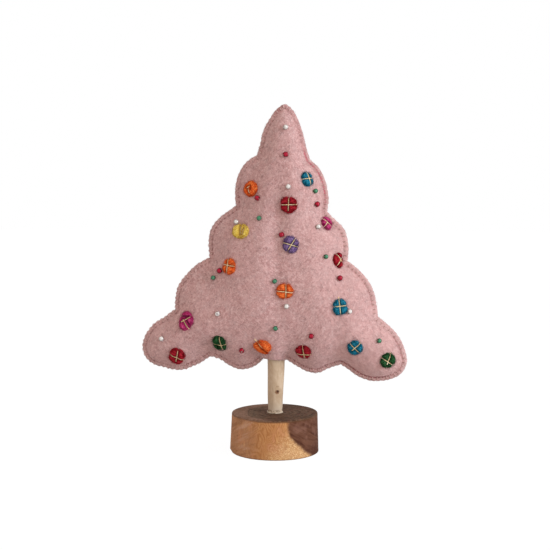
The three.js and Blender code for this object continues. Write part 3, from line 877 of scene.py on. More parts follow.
# Where the front stands out or falls in, as the stuffing lies, as rows for swells
front_lumps = (
    (3.5, 172, 7.5, 52, -2.4), (6, 208, 8, 20, -2.0), (-17, 138, 15, 36, 2.6), (-66, 152, 18, 30, -3.3),
    (-48, 140, 14, 30, -1.6), (37, 150, 14, 36, 2.0), (18, 272, 7.5, 40, 3.0), (31, 225, 20, 22, 2.5),
    (-20, 238, 13, 22, -2.9), (56, 100, 8, 18, -1.6), (25, 112, 10, 14, 0.6), (-68, 95, 24, 10, -2.2),
    (-18, 93, 12, 8, -1.6), (86, 86, 16, 9, -1.8), (-101, 93, 11, 14, -1.4),
)

# Where the dots and beads pull the front in, as rows for swells
sewn_on_dimples = [
    (place[0] / MM, place[2] / MM, width, width, rise)
    for places, width, rise in ((dot_middles, 5.5, -1.1), (bead_middles, 2.4, -0.6))
    for place in places.values()
]


def inside_outline(spots):
    """Whether each spot is inside, by how often a level line from it crosses the outline."""
    crossings = np.zeros(len(spots), int)
    for (x1, z1), (x2, z2) in zip(outline, outline_next):
        between = (spots[:, 1] >= min(z1, z2)) & (spots[:, 1] < max(z1, z2))
        if between.any():
            meet = x1 + (spots[:, 1] - z1) * (x2 - x1) / (z2 - z1)
            crossings += between & (spots[:, 0] < meet)
    return crossings % 2 == 1


def lattice(step):
    """Points in a triangular lattice inside the outline."""
    row_share = 0.866
    low, high = outline.min(axis=0), outline.max(axis=0)
    rows = int((high[1] - low[1]) / (step * row_share)) + 1
    columns = int((high[0] - low[0]) / step) + 1
    spots = np.array([
        (low[0] + (column + 0.5 * (row % 2)) * step, low[1] + row * step * row_share)
        for row in range(rows) for column in range(columns)
    ])
    return spots[inside_outline(spots)]


def flat_tree(spots):
    tree = KDTree(len(spots))
    for index, spot in enumerate(spots):
        tree.insert((spot[0], spot[1], 0), index)
    tree.balance()
    return tree


def spread(step, bands):
    """Where a face of the sheet has its points: on lines that follow the outline, and in a lattice."""
    chosen = []
    for offset in bands:
        ring = outline + outline_inward * offset * MM
        good = (read_edge(ring)[1] > offset * MM - 0.04 * MM) & inside_outline(ring)
        last = None
        for spot in ring[good]:
            if last is None or np.linalg.norm(spot - last) > least_step:
                chosen.append(spot)
                last = spot
    taken = flat_tree(chosen)
    grid = lattice(step)
    for spot, gap in zip(grid, read_edge(grid)[1]):
        beside_lines = gap < (bands[-1] + 1.5) * MM and taken.find((spot[0], spot[1], 0))[2] < 0.8 * step
        if gap >= 0.5 * MM and not beside_lines:
            chosen.append(spot)
    return np.array(chosen)


def triangulate(border, spots):
    """Triangles between the spots, inside a border that keeps its points, all turned the same way."""
    count = len(border)
    corners = [Vector(spot) for spot in (*border, *spots)]
    edges = [(i, (i + 1) % count) for i in range(count)]
    points, _, faces, *_ = geometry.delaunay_2d_cdt(corners, edges, [], 1, 1e-8)
    points = np.array([tuple(point) for point in points])
    if np.abs(points[:count] - border).max() > 1e-6:
        raise RuntimeError("the felt's outline points moved")
    faces = np.array([tuple(face) for face in faces if len(face) == 3])
    a, b, c = (points[faces[:, corner]] for corner in range(3))
    turn = (b[:, 0] - a[:, 0]) * (c[:, 1] - a[:, 1]) - (b[:, 1] - a[:, 1]) * (c[:, 0] - a[:, 0])
    faces[turn < 0] = faces[turn < 0][:, ::-1]
    return points, faces


def dome(reach):
    """Height of the stuffing: nothing at the edge, a soft start inside the seam, then up to the crown."""
    ease = 2.4 * MM
    inside = reach - seam_width
    rise = (inside + np.sqrt(inside**2 + ease**2) + seam_width - math.hypot(seam_width, ease)) / 2
    return crown_height * (1 - np.exp(-rise / shoulder_reach))


def sleeve(spots):
    """Height at which the sheet clears the stick in it: nothing at the mouth's corners, wider further in."""
    above = spots[:, 1] - neck_height
    half_width = mouth_half_width + np.clip(above, 0, 16 * MM)
    turn = np.clip(spots[:, 0] / half_width, -1, 1) * math.pi / 2
    belly = 1 + 0.36 * smooth_step(above, 0, 11 * MM) * smooth_step(above, 60 * MM, 25 * MM)
    over_stick = smooth_step(spots[:, 1], stick_top_height + 12 * MM, stick_top_height)
    fullness = 0.7 + 0.5 * smooth_step(above, 0, 8 * MM)
    return sleeve_height * belly * np.cos(turn) ** fullness * over_stick


def stuffed_height(net, side, swelling):
    """Height of a sheet's inner face over the seam's plane: the stuffing, with its lumps and pulls."""
    spots, _, (reach, near, along) = net
    seed = 1 if side < 0 else 2
    height = dome(reach)
    soft = smooth_step(height, 0.5 * MM, 9 * MM)
    bumps = 0.75 * MM * lumps(spots, 26 * MM, seed) + 0.3 * MM * lumps(spots, 10 * MM, seed + 4)
    height = height + soft * bumps + swelling
    if side < 0:
        height = height + swells(spots, front_lumps) * smooth_step(near, 3 * MM, 12 * MM)
        height = height + swells(spots, sewn_on_dimples)
    # a fold that runs in from each notch
    for corner, inward in notches:
        gap = spots - corner
        deep = gap @ inward
        aside = gap[:, 0] * inward[1] - gap[:, 1] * inward[0]
        run = np.maximum(deep, 0)
        fold = bell(aside, 1.2 * MM + 0.16 * run) * np.exp(-run / (8 * MM))
        height = height - 1.1 * MM * fold * smooth_step(deep, 1 * MM, 5 * MM)
    # small gathers that run in from the seam
    gather = lumps(np.column_stack((along, near * 0.35, np.full(len(along), seed))), 6.5 * MM, seed + 8)
    height = height + 0.35 * MM * gather * smooth_step(near, 3.5 * MM, 7 * MM) * np.exp(-near / (9 * MM))
    height = np.maximum(height, 0)
    over_stick = sleeve(spots)
    ease = 7 * MM * over_stick / sleeve_height
    return (height + over_stick + np.sqrt((height - over_stick) ** 2 + ease**2)) / 2 + felt_gap


def seam_shape(near, along):
    """How much the outer face drops near the edge, and how much shade is painted on it there: a rounded rim,
    pressed in under each stitch, a faint valley, and a dent where each stitch goes in, with painted shade
    along the valley, in each dent, and along the rim at the upper right and at the tip."""
    rim = 2.5 * MM
    round_off = rim - np.sqrt(np.maximum(0, rim**2 - np.maximum(0, rim - near) ** 2))
    sewn = sewn_share(along)
    tight = seam_tightness(along)
    stitch = stitch_wave(along) ** 1.6
    over_edge = stitch_wave(along, -stitch_lean * 0.6)
    line = bell(near - stitch_depth, 0.65 * MM)
    pressed = 0.3 * MM * over_edge**2 * smooth_step(near, 4.4 * MM, 2.2 * MM)
    valley = 0.2 * MM * line
    dent = 0.7 * MM * stitch * line
    # more painted shade in the seam's groove at the lower right and at the right foot
    groove_shade_zone = edge_zone("lower right", along) + edge_zone("right foot", along)
    groove_shade_zone = groove_shade_zone * (1 - edge_zone("slack stretch", along))
    # painted shade along the seam's valley and in each stitch's dent
    fold = sewn * tight * (0.15 + 0.42 * groove_shade_zone + 1.05 * stitch) * line
    # painted shade along the rim at the upper right and at the tip
    painted_rim_shade = 0.17 * edge_zone("upper right", along) + 0.3 * edge_zone("tip", along)
    fold = fold + painted_rim_shade * smooth_step(near, 4.2 * MM, 2.4 * MM)
    return round_off + sewn * np.minimum(tight, 0.9) * (pressed + valley + dent), np.clip(1.2 * fold, 0, 1)


def place_points(net, side, height):
    """A face's points at their height, its rim drawn in at each stitch and out in a scallop between two."""
    spots, _, (_, near, along) = net
    wave = stitch_wave(along, -stitch_lean)
    tight = np.minimum(seam_tightness(along), 0.65) * (1 + 0.9 * edge_zone("lower left", along))
    pull = (0.8 * wave**1.5 - 0.25) * MM * sewn_share(along) * tight * np.exp(-near / (1.8 * MM))
    nearest = np.interp(along, outline_at_closed, np.arange(len(outline) + 1)) % len(outline)
    inward = outline_inward[np.round(nearest).astype(int) % len(outline)]
    moved = spots + inward * pull[:, None]
    return np.column_stack((moved[:, 0], side * height, moved[:, 1]))


# Swelling of the stuffed felt, from a cloth simulation of a closed pillow with its seam held

cloth_settings = {
    "quality": 6, "mass": 0.4, "tension_stiffness": 25, "compression_stiffness": 25, "shear_stiffness": 8,
    "bending_stiffness": 1.5, "use_pressure": True, "uniform_pressure_force": 4, "vertex_group_mass": "held",
}
cloth_frames = 20
start_share = 0.93
seam_hold = 4.5 * MM
dot_hold = 0.6
most_swelling = 2.2 * MM


def swell_pillow():
    """Blows up a coarse pillow of the tree's outline. Gives its spots and how far each side stands out."""
    border = outline[::6]
    count = len(border)
    grid = lattice(pillow_step)
    spots, faces = triangulate(border, grid[read_edge(grid)[1] > 0.6 * pillow_step])
    reach = read_edge(spots)[0]
    reach[:count] = 0
    rest = dome(reach) + felt_thickness * smooth_step(reach, 0, 3 * MM)
    start = start_share * rest
    total = len(spots)
    front, back = (np.column_stack((spots[:, 0], side * start, spots[:, 1])) for side in (-1, 1))
    back_index = [i if i < count else total + i - count for i in range(total)]
    triangles = []
    for face in faces.tolist():
        triangles.append(tuple(face))
        triangles.append(tuple(back_index[i] for i in reversed(face)))
    pillow = make_piece("pillow", np.vstack((front, back[count:])), triangles, pink_felt)
    held = pillow.vertex_groups.new(name="held")
    at_seam = [i for i in range(total) if reach[i] < seam_hold]
    held.add(at_seam + [back_index[i] for i in at_seam], 1.0, "REPLACE")
    for middle in dot_middles.values():
        gap = np.hypot(spots[:, 0] - middle[0], spots[:, 1] - middle[2])
        held.add([int(gap.argmin())], dot_hold, "REPLACE")
    pick(pillow)
    cloth = pillow.modifiers.new("swell", "CLOTH")
    for name, value in cloth_settings.items():
        setattr(cloth.settings, name, value)
    cloth.settings.effector_weights.gravity = 0
    cloth.point_cache.frame_start = 1
    cloth.point_cache.frame_end = cloth_frames
    for number in range(1, cloth_frames + 1):
        bpy.context.scene.frame_set(number)
    bpy.ops.object.modifier_apply(modifier="swell")
    swollen = points_of(pillow)
    bpy.context.scene.frame_set(1)
    bpy.data.objects.remove(pillow)
    changes = {}
    for side, index in ((-1, list(range(total))), (1, back_index)):
        height = np.abs(swollen[index][:, 1])
        inside = reach > 8 * MM
        change = height * (rest[inside].sum() / height[inside].sum()) - rest
        changes[side] = np.clip(change, -most_swelling, most_swelling) * smooth_step(reach, 3 * MM, 9 * MM)
    return flat_tree(spots), changes


def swelling_at(spots, swollen, side):
    if swollen is None:
        return np.zeros(len(spots))
    tree, changes = swollen
    values = []
    for spot in spots:
        weight_total, value_total = 0.0, 0.0
        for _, index, gap in tree.find_n((spot[0], spot[1], 0), 7):
            weight = math.exp(-((gap / (3.2 * MM)) ** 2)) + 1e-6
            weight_total += weight
            value_total += weight * changes[side][index]
        values.append(value_total / weight_total)
    return np.array(values)


def make_net(step, bands):
    """The points and triangles of one face, and what the edge is like from each point."""
    spots, faces = triangulate(outline, spread(step, bands))
    reach, near, along = read_edge(spots)
    count = len(outline)
    reach[:count] = 0
    near[:count] = 0
    along[:count] = outline_at
    return spots, faces, (reach, near, along)


def make_felt_sheet(name, side, swollen, material):
    """One felt sheet, closed: a fine outer face, a rim, and a coarser inner face on the stuffing."""
    seed = 11 if side < 0 else 12
    spots, faces, (_, near, along) = outer_net
    inner_spots, inner_faces, _ = inner_net
    under, low = (
        stuffed_height(net, side, swelling_at(net[0], swollen, side)) for net in (outer_net, inner_net)
    )
    rough = 0.11 * MM * lumps(spots, 3.2 * MM, seed) + 0.07 * MM * lumps(spots, 1.5 * MM, seed + 3)
    drop, fold = seam_shape(near, along)
    outer = under + felt_thickness - drop + rough * smooth_step(near, 0.2 * MM, 1.5 * MM)
    outer = np.maximum(outer, felt_gap + 0.5 * MM)
    points = np.vstack((place_points(outer_net, side, outer), place_points(inner_net, side, low)))
    total, count = len(spots), len(outline)
    turn = 1 if side < 0 else -1
    all_faces = [tuple(int(i) for i in face[::turn]) for face in faces]
    all_faces += [tuple(int(i) + total for i in face[::-turn]) for face in inner_faces]
    for i in range(count):
        j = (i + 1) % count
        all_faces.append((i, total + i, total + j, j)[::turn])
    sheet = make_piece(name, points, all_faces, material)
    plain = np.zeros(len(inner_spots))
    # the seam's painted shade, and the deep pink line of painted shade, as attributes for the felt's colour
    add_values(sheet, "fold", np.concatenate((fold, plain)))
    add_values(sheet, "rose", np.concatenate((rose_shade_line(spots, near), plain)))
    return sheet


swollen_felt = swell_pillow()
outer_net = make_net(outer_step, outer_bands)
inner_net = make_net(inner_step, inner_bands)
front_felt = make_felt_sheet("front_felt", -1, swollen_felt, pink_felt)
back_felt = make_felt_sheet("back_felt", 1, swollen_felt, pink_felt_back)
finish_piece(front_felt, "pink_felt", ["front_panel"])
finish_piece(back_felt, "pink_felt", ["back_panel"])


def surface_of(sheet, faces):
    return BVHTree.FromPolygons([vertex.co for vertex in sheet.data.vertices], faces)


front_surface, back_surface = (
    surface_of(sheet, [tuple(face.vertices) for face in sheet.data.polygons])
    for sheet in (front_felt, back_felt)
)
front_faces = outer_net[1]
front_outside = surface_of(front_felt, front_faces.tolist())


# Stuffing, in the room between the sheets


def make_fibre_core():
    """Loose fill, from the room that the CAD keeps for it: remeshed, drawn in and made lumpy."""
    core = add_object("fibre_core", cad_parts["stuffing"].data.copy())
    give_material(core, stuffing_finish())
    pick(core)
    with edit_mode(select_all=True):
        bpy.ops.mesh.remove_doubles(threshold=0.005 * MM)
    remesh = core.modifiers.new("remesh", "REMESH")
    remesh.mode = "VOXEL"
    remesh.voxel_size = fill_grain
    bpy.ops.object.modifier_apply(modifier="remesh")
    points, normals = points_of(core), points_of(core, "normal")
    draw_in = fill_slack + fill_lumps * lumps(points, 9 * MM, 21)
    core.data.vertices.foreach_set("co", (points - normals * draw_in[:, None]).ravel())
    core.data.polygons.foreach_set("use_smooth", [True] * len(core.data.polygons))
    core.data.update()
    return core


finish_piece(make_fibre_core(), "stuffing_fibre", ["stuffing"])


# Whip stitches over the edge

# A stitch's way over a sheet, from its hole to the edge, is how far in and how far over the felt it runs.
# Its way round the edge is how far in and how far behind the seam's plane. All are in millimetres.
stitch_way = ((4.3, -0.9), (3.9, -0.1), (3.4, 0.2), *((deep, 0.26) for deep in (2.8, 2.2, 1.7, 1.25, 0.95)))
edge_way = ((0.62, -0.8), (0.5, 0.0), (0.62, 0.8))


def edge_point(place):
    """The spot on the outline at a place along the sewn edge, and the way inwards there."""
    along = (mouth_end + place) % outline_length
    index = np.interp(along, outline_at_closed, np.arange(len(outline) + 1))
    low = int(index) % len(outline)
    high = (low + 1) % len(outline)
    share = index - int(index)
    spot, inward = (line[low] * (1 - share) + line[high] * share for line in (outline, outline_inward))
    return spot, inward / np.linalg.norm(inward)


def felt_level(surface, x, z, side):
    """How far a sheet's outer face is from the seam's plane at (x, z)."""
    hit = surface.ray_cast(Vector((x, side * 60 * MM, z)), Vector((0, -side, 0)))[0]
    return abs(hit.y) if hit else 0.0


def make_whip_stitches():
    """One loop of thread for each stitch: out of the front felt, over the edge, and into the back felt."""
    along = (mouth_end + stitch_places) % outline_length
    sunk = (0.34 + 0.4 * edge_zone("beside the cone", along)) * edge_zone("upper right", along)
    sunk = (sunk + 0.3 * edge_zone("slack stretch", along)) * MM
    paths = []
    for place, deeper in zip(stitch_places, sunk):
        halves = []
        for side, surface in ((-1, front_surface), (1, back_surface)):
            half = []
            for deep, lift in stitch_way:
                lean = -stitch_lean * (1 - deep * MM / stitch_depth)
                if side > 0:
                    lean = -2 * stitch_lean - lean
                spot, inward = edge_point(place + lean)
                x, z = spot + inward * deep * MM
                level = felt_level(surface, x, z, side)
                half.append((x, side * max(0.4 * MM, level + lift * MM - deeper), z))
            halves.append(half)
        spot, inward = edge_point(place - stitch_lean)
        over_edge = []
        for deep, behind in edge_way:
            x, z = spot + inward * (deep * MM + deeper)
            over_edge.append((x, behind * MM, z))
        paths.append(halves[0] + over_edge + halves[1][::-1])
    return tube_piece("whip_stitches", paths, stitch_thread_radius, pink_thread)


finish_piece(make_whip_stitches(), "pink_thread", ["edge_stitching"])


# Loose fibres: three-sided strands with four stops. Their lengths and heights are in millimetres.

fibre_count = 7500
fibre_lengths = (2.0, 4.6)
fibre_heights = (0.1, 0.45)
fibre_curl = 0.35
fibre_radius = 0.055 * MM
dot_fibre_count = 130
dot_fibre_radius = 0.06 * MM
dot_fibre_reach = (0.3, 1.2)
dot_fibre_height = (0.5, 1.5)

# The stops of a fibre on the sheets: how far along it, how far it bows aside, and how high it stands
fibre_stops = ((-0.5, 0.0, -0.3), (-0.17, 0.75, 0.9), (0.17, 0.8, 1.0), (0.5, 0.0, -0.3))


def strand_faces(first, turned=False):
    faces = []
    for low in (first, first + 3, first + 6):
        for side in range(3):
            after = (side + 1) % 3
            faces.append((low + side, low + 3 + side, low + 3 + after, low + after))
    faces += [(first, first + 1, first + 2), (first + 11, first + 10, first + 9)]
    return [(face[0], *face[:0:-1]) for face in faces] if turned else faces


def make_fuzz(name, source, surface_faces, seed, material):
    """Short curved fibres that lie on the felt, each sunk in it at both ends, with its own tone."""
    chance = np.random.default_rng(seed)
    points, normals = points_of(source), points_of(source, "normal")
    a, b, c = (points[surface_faces[:, corner]] for corner in range(3))
    area = np.linalg.norm(np.cross(b - a, c - a), axis=1)
    chosen = surface_faces[chance.choice(len(surface_faces), fibre_count, p=area / area.sum())]
    shares = chance.dirichlet((1, 1, 1), fibre_count)[:, :, None]
    spots, outward = ((shares * values[chosen]).sum(axis=1) for values in (points, normals))
    outward = unit(outward)
    way = chance.normal(size=(fibre_count, 3))
    way = unit(way - outward * (way * outward).sum(axis=1)[:, None])
    other = np.cross(outward, way)
    long = chance.uniform(*fibre_lengths, fibre_count) * MM
    curl = chance.normal(0, fibre_curl, fibre_count)
    height = chance.uniform(*fibre_heights, fibre_count) * MM
    # painted light: the darkest fibres are left out at the right, where the lamp falls, so that side reads
    # paler
    tone = np.maximum(chance.random(fibre_count), 0.42 * smooth_step(spots[:, 0], 25 * MM, 60 * MM))
    turns = [2 * math.pi * side / 3 for side in range(3)]
    all_points, all_faces = [], []
    for i in range(fibre_count):
        all_faces += strand_faces(len(all_points))
        corners = [fibre_radius * (other[i] * math.cos(turn) + outward[i] * math.sin(turn)) for turn in turns]
        for along, bow, high in fibre_stops:
            run = way[i] * long[i] * along + other[i] * long[i] * curl[i] * bow
            centre = spots[i] + run + outward[i] * height[i] * high
            all_points += [centre + corner for corner in corners]
    piece = make_piece(name, all_points, all_faces, material)
    add_values(piece, "tone", np.repeat(tone, 12))
    return piece


# Felt dots, each sewn on by a cross of gold thread

# The threads of each dot. They run through points given as shares of the dot's half width and half height.
dot_threads = {
    "dot_teal_1": [[(-0.97, 0.0), (0.72, 0.1)], [(0.12, 0.9), (0.4, -0.75)]],
    "dot_orange_1": [[(-0.6, 0.08), (-0.18, 0.36)], [(-0.36, 0.02), (-0.04, -0.6)]],
    "dot_red_1": [[(0.06, 0.8), (0.0, -0.72)], [(-0.95, 0.0), (0.97, 0.03)]],
    "dot_magenta_1": [[(-0.66, 0.74), (0.84, -0.62)], [(-0.72, -0.46), (0.2, 0.1)]],
    "dot_yellow": [[(0.02, 0.82), (0.08, -0.55)], [(0.42, 0.35), (0.28, -0.5)]],
    "dot_purple": [[(-0.92, 0.2), (0.88, -0.28)], [(0.6, 0.68), (-0.36, -0.76)]],
    "dot_red_2": [[(-0.24, 0.76), (0.84, -0.24)], [(-0.42, -0.66), (0.92, 0.3)]],
    "dot_orange_2": [[(-0.12, 0.88), (-0.24, -0.88)], [(-0.86, 0.22), (0.86, 0.02)]],
    "dot_orange_3": [[(0.16, 0.94), (0.16, -0.86)], [(-0.84, 0.03), (0.9, -0.19)]],
    "dot_teal_2": [[(-0.2, 1.22), (0.04, -0.88)], [(-0.84, 0.06), (0.84, 0.18)]],
    "dot_magenta_2": [[(-0.66, -0.19), (0.6, 0.43)], [(-0.46, 0.14), (0.52, -0.78)]],
    "dot_green_1": [
        [(-0.9, 0.04), (-0.3, -0.22), (0.3, -0.18), (1.02, -0.05)], [(0.18, 0.82), (0.28, -0.88)],
    ],
    "dot_orange_4": [[(-0.66, 1.3), (0.06, -0.2)]],
    "dot_red_3": [[(-0.88, 0.28), (0.82, -0.48)], [(0.2, 0.7), (-0.17, -0.66)]],
    "dot_red_4": [[(0.0, 0.95), (0.05, -0.96)], [(-0.93, -0.31), (0.9, -0.36)]],
    "dot_teal_3": [[(-0.64, 0.6), (0.55, -0.68)], [(0.72, 0.66), (-0.45, -0.36)]],
    "dot_green_2": [[(-0.78, 0.34), (0.62, -0.62)], [(0.36, 0.98), (-0.14, -0.6)]],
}

# Folds in the dots that no thread lies in
dot_folds = {
    "dot_orange_1": [[(0.12, 0.42), (0.2, -0.1)]],
    "dot_orange_4": [[(0.06, -0.2), (0.28, -0.42), (0.6, -0.66)]],
    "dot_magenta_2": [[(-0.66, 0.44), (0.4, 0.4)], [(-0.05, 0.3), (0.8, -0.5)]],
    "dot_green_1": [[(-0.35, -0.2), (-0.2, -0.85)]],
}

# How far a dot is stretched across and up from round, how far it is moved across and up, in millimetres,
# and the way its felt is matted, in degrees
dot_shapes = {
    "dot_teal_1": (0.758, 0.919, 0.2, 0, 70), "dot_orange_1": (0.955, 0.865, -0.2, -0.4, 80),
    "dot_red_1": (1.04, 0.997, -0.1, -0.3, 20), "dot_magenta_1": (0.565, 0.75, 2.9, 2.1, 130),
    "dot_yellow": (1.102, 0.886, 0.2, -0.3, 30), "dot_purple": (0.955, 1.055, -0.4, 0.2, 62),
    "dot_red_2": (0.628, 0.80, 2.0, -0.8, 100), "dot_orange_2": (0.93, 0.95, 0.4, 0, 40),
    "dot_orange_3": (1.086, 0.918, -0.2, 0, 0), "dot_teal_2": (0.866, 0.957, 0, 0.3, 100),
    "dot_magenta_2": (0.915, 1.11, -0.2, -0.1, 112), "dot_green_1": (0.83, 1.09, -0.3, 0.5, 75),
    "dot_orange_4": (0.87, 0.75, 0.65, 2.5, 10), "dot_red_3": (0.965, 1.13, -0.1, -0.4, 150),
    "dot_red_4": (0.916, 0.914, -0.6, -0.6, 15), "dot_teal_3": (0.895, 0.948, 0.1, -0.6, 140),
    "dot_green_2": (0.917, 0.91, -0.6, 0.4, 45),
}

seat_clearance = 12 * MM
dot_corner_count = 84
dot_ring_count = 20
dot_notch_depth = 0.12
dot_notch_width = 0.22
dot_lobes = ((0.07, 1.0), (0.05, 2.6), (0.03, 5.5))

# Creases under the threads, and in the folds: their depth and half width
thread_creases = ((1.3 * MM, 0.8 * MM), (1.15 * MM, 2.0 * MM))
fold_crease = (1.5 * MM, 0.95 * MM)

# Rings of the underside: their share of the dot's reach, and how deep they are in the tree's felt
dot_underside = ((0.97, -0.5 * MM), (0.86, -0.9 * MM), (0.5, -1.0 * MM))


def seat_on(spot, reach=5 * MM):
    """The place on the front felt nearest to a spot, the felt's average slope there, and its side and up."""
    upright = Vector((0, 0, 1))
    place, normal, _, _ = front_outside.find_nearest(Vector(spot))
    side = normal.cross(upright).normalized()
    rise = -side.cross(normal).normalized()
    total = Vector(normal)
    for step in range(8):
        turn = step * math.pi / 4
        away = side * math.cos(turn) + rise * math.sin(turn)
        total += front_outside.find_nearest(place + away * reach)[1]
    normal = total.normalized()
    across = -upright.cross(normal).normalized()
    if across.x < 0:
        across = -across
    up = normal.cross(across).normalized()
    if up.z < 0:
        up = -up
    return place, normal, across, up


def line_gap(a, b, lines):
    """Distance from (a, b) to the nearest of the lines, and far off where there are none."""
    best = 1.0
    for line in lines:
        for (ax, ay), (bx, by) in zip(line, line[1:]):
            run_x, run_y = bx - ax, by - ay
            share = ((a - ax) * run_x + (b - ay) * run_y) / (run_x**2 + run_y**2)
            share = min(1.0, max(0.0, share))
            best = min(best, math.hypot(a - ax - share * run_x, b - ay - share * run_y))
    return best


class Dot:
    """One felt dot: its seat on the tree and its shape."""

    def __init__(self, name, number):
        self.name = name
        self.number = number
        self.colour = name.split("_")[1]
        self.wide, self.tall, aside, higher, streak = dot_shapes[name]
        self.streak = math.radians(streak)
        self.seat = seat_on(dot_middles[name] + np.array((aside, 0, higher)) * MM)
        self.radius = self.cad_radius()
        self.lines, self.folds = (
            [[(x * self.wide * self.radius, y * self.tall * self.radius) for x, y in line] for line in lines]
            for lines in (dot_threads.get(name, []), dot_folds.get(name, []))
        )

    def cad_radius(self):
        """How far the CAD's dot reaches from the seat, along the felt."""
        place, normal = (np.array(part) for part in self.seat[:2])
        flat = points_of(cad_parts[self.name]) - place
        flat = flat - np.outer(flat @ normal, normal)
        return float(np.linalg.norm(flat, axis=1).max())

    def rim(self, turn):
        """The dot's reach in a direction: uneven, and drawn in where a thread crosses its edge."""
        spot = Vector((1.7 * math.cos(turn), 1.7 * math.sin(turn), 3.7 * self.number))
        reach = 1 / math.hypot(math.cos(turn) / self.wide, math.sin(turn) / self.tall)
        reach *= 1 + sum(depth * noise.noise(spot * size) for depth, size in dot_lobes)
        for line in self.lines + self.folds:
            for x, y in (line[0], line[-1]):
                if math.hypot(x / self.wide, y / self.tall) / self.radius > 0.72:
                    gap = (turn - math.atan2(y, x) + math.pi) % (2 * math.pi) - math.pi
                    reach -= dot_notch_depth * bell(gap, dot_notch_width)
        return reach * self.radius

    def top(self, a, b):
        """The pad's height over the felt at (a, b), and how much shade is painted on it there: in the
        creases, in the folds and towards the rim.
        """
        away = math.hypot(a, b)
        share = away / self.rim(math.atan2(b, a)) if away > 1e-9 else 0.0
        body = 1.06 * dot_height * math.sqrt(max(0.0, 1 - min(1.0, share) ** 3.2))
        sewn, folded = line_gap(a, b, self.lines), line_gap(a, b, self.folds)
        crease = sum(deep * bell(sewn, wide) for deep, wide in thread_creases)
        crease += fold_crease[0] * bell(folded, fold_crease[1])
        fine = noise_at(a / (1.1 * MM), b / (1.1 * MM), 9.1 * self.number)
        broad = noise_at(a / (3.4 * MM), b / (3.4 * MM), 4.3 * self.number)
        low = 0.5 * MM if share < 0.97 else 0.0
        height = max(low, body - crease * (1 - 0.35 * share**2)) + 0.2 * MM * fine + 0.4 * MM * broad
        # painted shade along the threads' creases and in the folds, with the deeper tone of the wool pressed
        # there
        fold = 0.95 * bell(sewn, 1.15 * MM) * (1 - 0.45 * share**3)
        fold = max(fold, 0.9 * bell(folded, 1.0 * MM))
        # painted shade towards the rim, where the pad turns away
        edge = min(1.0, max(0.0, (share - 0.8) / 0.2))
        return height, min(1.0, max(fold, 0.25 * edge**1.5))

    def at(self, a, b, lift):
        """The spot at (a, b) on the seat's plane, lifted over the felt there."""
        place, normal, across, up = self.seat
        foot = place + across * a + up * b
        hit = front_surface.ray_cast(foot + normal * seat_clearance, -normal, 2 * seat_clearance)
        rise = seat_clearance - hit[3] if hit[0] is not None else 0.0
        return foot + normal * (rise + lift)


def edge_fibres(dot):
    """Loose fibres of a dot's own wool that curl over its edge, each out of the pad and down."""
    chance = np.random.default_rng(60 + dot.number)
    for _ in range(dot_fibre_count):
        turn = chance.uniform(0, 2 * math.pi)
        lean = chance.normal(0, 0.16)
        reach = dot.rim(turn)
        out = chance.uniform(*dot_fibre_reach) * MM
        high = chance.uniform(*dot_fibre_height) * MM
        # each stop: how far past the rim, how high, and its painted shade, a little near the pad
        stops = (
            (-1.3 * MM, 0.75 * dot_height, 0.15), (-0.25 * MM, 0.45 * dot_height + 0.4 * high, 0.15),
            (0.55 * out, high, 0.0), (out, 0.35 * high, 0.0),
        )
        fibre = []
        for number, (beyond, height, fold) in enumerate(stops):
            way = turn + lean * number
            a, b = (reach + beyond) * math.cos(way), (reach + beyond) * math.sin(way)
            side_x, side_y = -math.sin(way) * dot_fibre_radius, math.cos(way) * dot_fibre_radius
            low = height - dot_fibre_radius / 2
            fibre += [(a + side_x, b + side_y, low, fold), (a - side_x, b - side_y, low, fold)]
            fibre.append((a, b, height + dot_fibre_radius, fold))
        yield fibre


def dot_places(dot):
    """The pad's points along the felt, over it, and how much shade is painted on them: the top, then the
    underside.
    """
    places = [(0.0, 0.0, *dot.top(0, 0))]
    turns = [2 * math.pi * corner / dot_corner_count for corner in range(dot_corner_count)]
    for ring in range(1, dot_ring_count + 1):
        share = math.sin(ring / dot_ring_count * math.pi / 2) ** 0.66
        for turn in turns:
            reach = dot.rim(turn) * share * 0.9999
            a, b = reach * math.cos(turn), reach * math.sin(turn)
            height, fold = dot.top(a, b)
            places.append((a, b, height if ring < dot_ring_count else 0.1 * MM, fold))
    # the underside is given painted shade all over
    for share, height in dot_underside:
        for turn in turns:
            reach = dot.rim(turn) * share
            places.append((reach * math.cos(turn), reach * math.sin(turn), height, 0.6))
    places.append((0.0, 0.0, dot_underside[-1][1], 0.6))
    return places


def make_dot(dot):
    """A pad of felt: a crowned top in lobes, round sides, and an underside sunk in the tree's felt."""
    places = dot_places(dot)
    corners = [(corner, (corner + 1) % dot_corner_count) for corner in range(dot_corner_count)]
    faces = [(0, 1 + corner, 1 + after) for corner, after in corners]
    for ring in range(dot_ring_count + 2):
        first = 1 + ring * dot_corner_count
        outer = first + dot_corner_count
        faces += [(first + corner, outer + corner, outer + after, first + after) for corner, after in corners]
    last = len(places) - 1
    first = last - dot_corner_count
    faces += [(last, first + after, first + corner) for corner, after in corners]
    for fibre in edge_fibres(dot):
        faces += strand_faces(len(places), turned=True)
        places += fibre
    points = [dot.at(a, b, height) for a, b, height, _ in places]
    pad = make_piece("felt_" + dot.name, points, faces, dot_finishes[dot.colour])
    # the painted shade, kept in the attribute fold
    add_values(pad, "fold", [place[3] for place in places])
    along, aside = math.cos(dot.streak), math.sin(dot.streak)
    shift = 0.05 * dot.number
    flat = [(a * along + b * aside + shift, b * along - a * aside) for a, b, _, _ in places]
    add_map(pad, [flat[loop.vertex_index] for loop in pad.data.loops])
    return pad


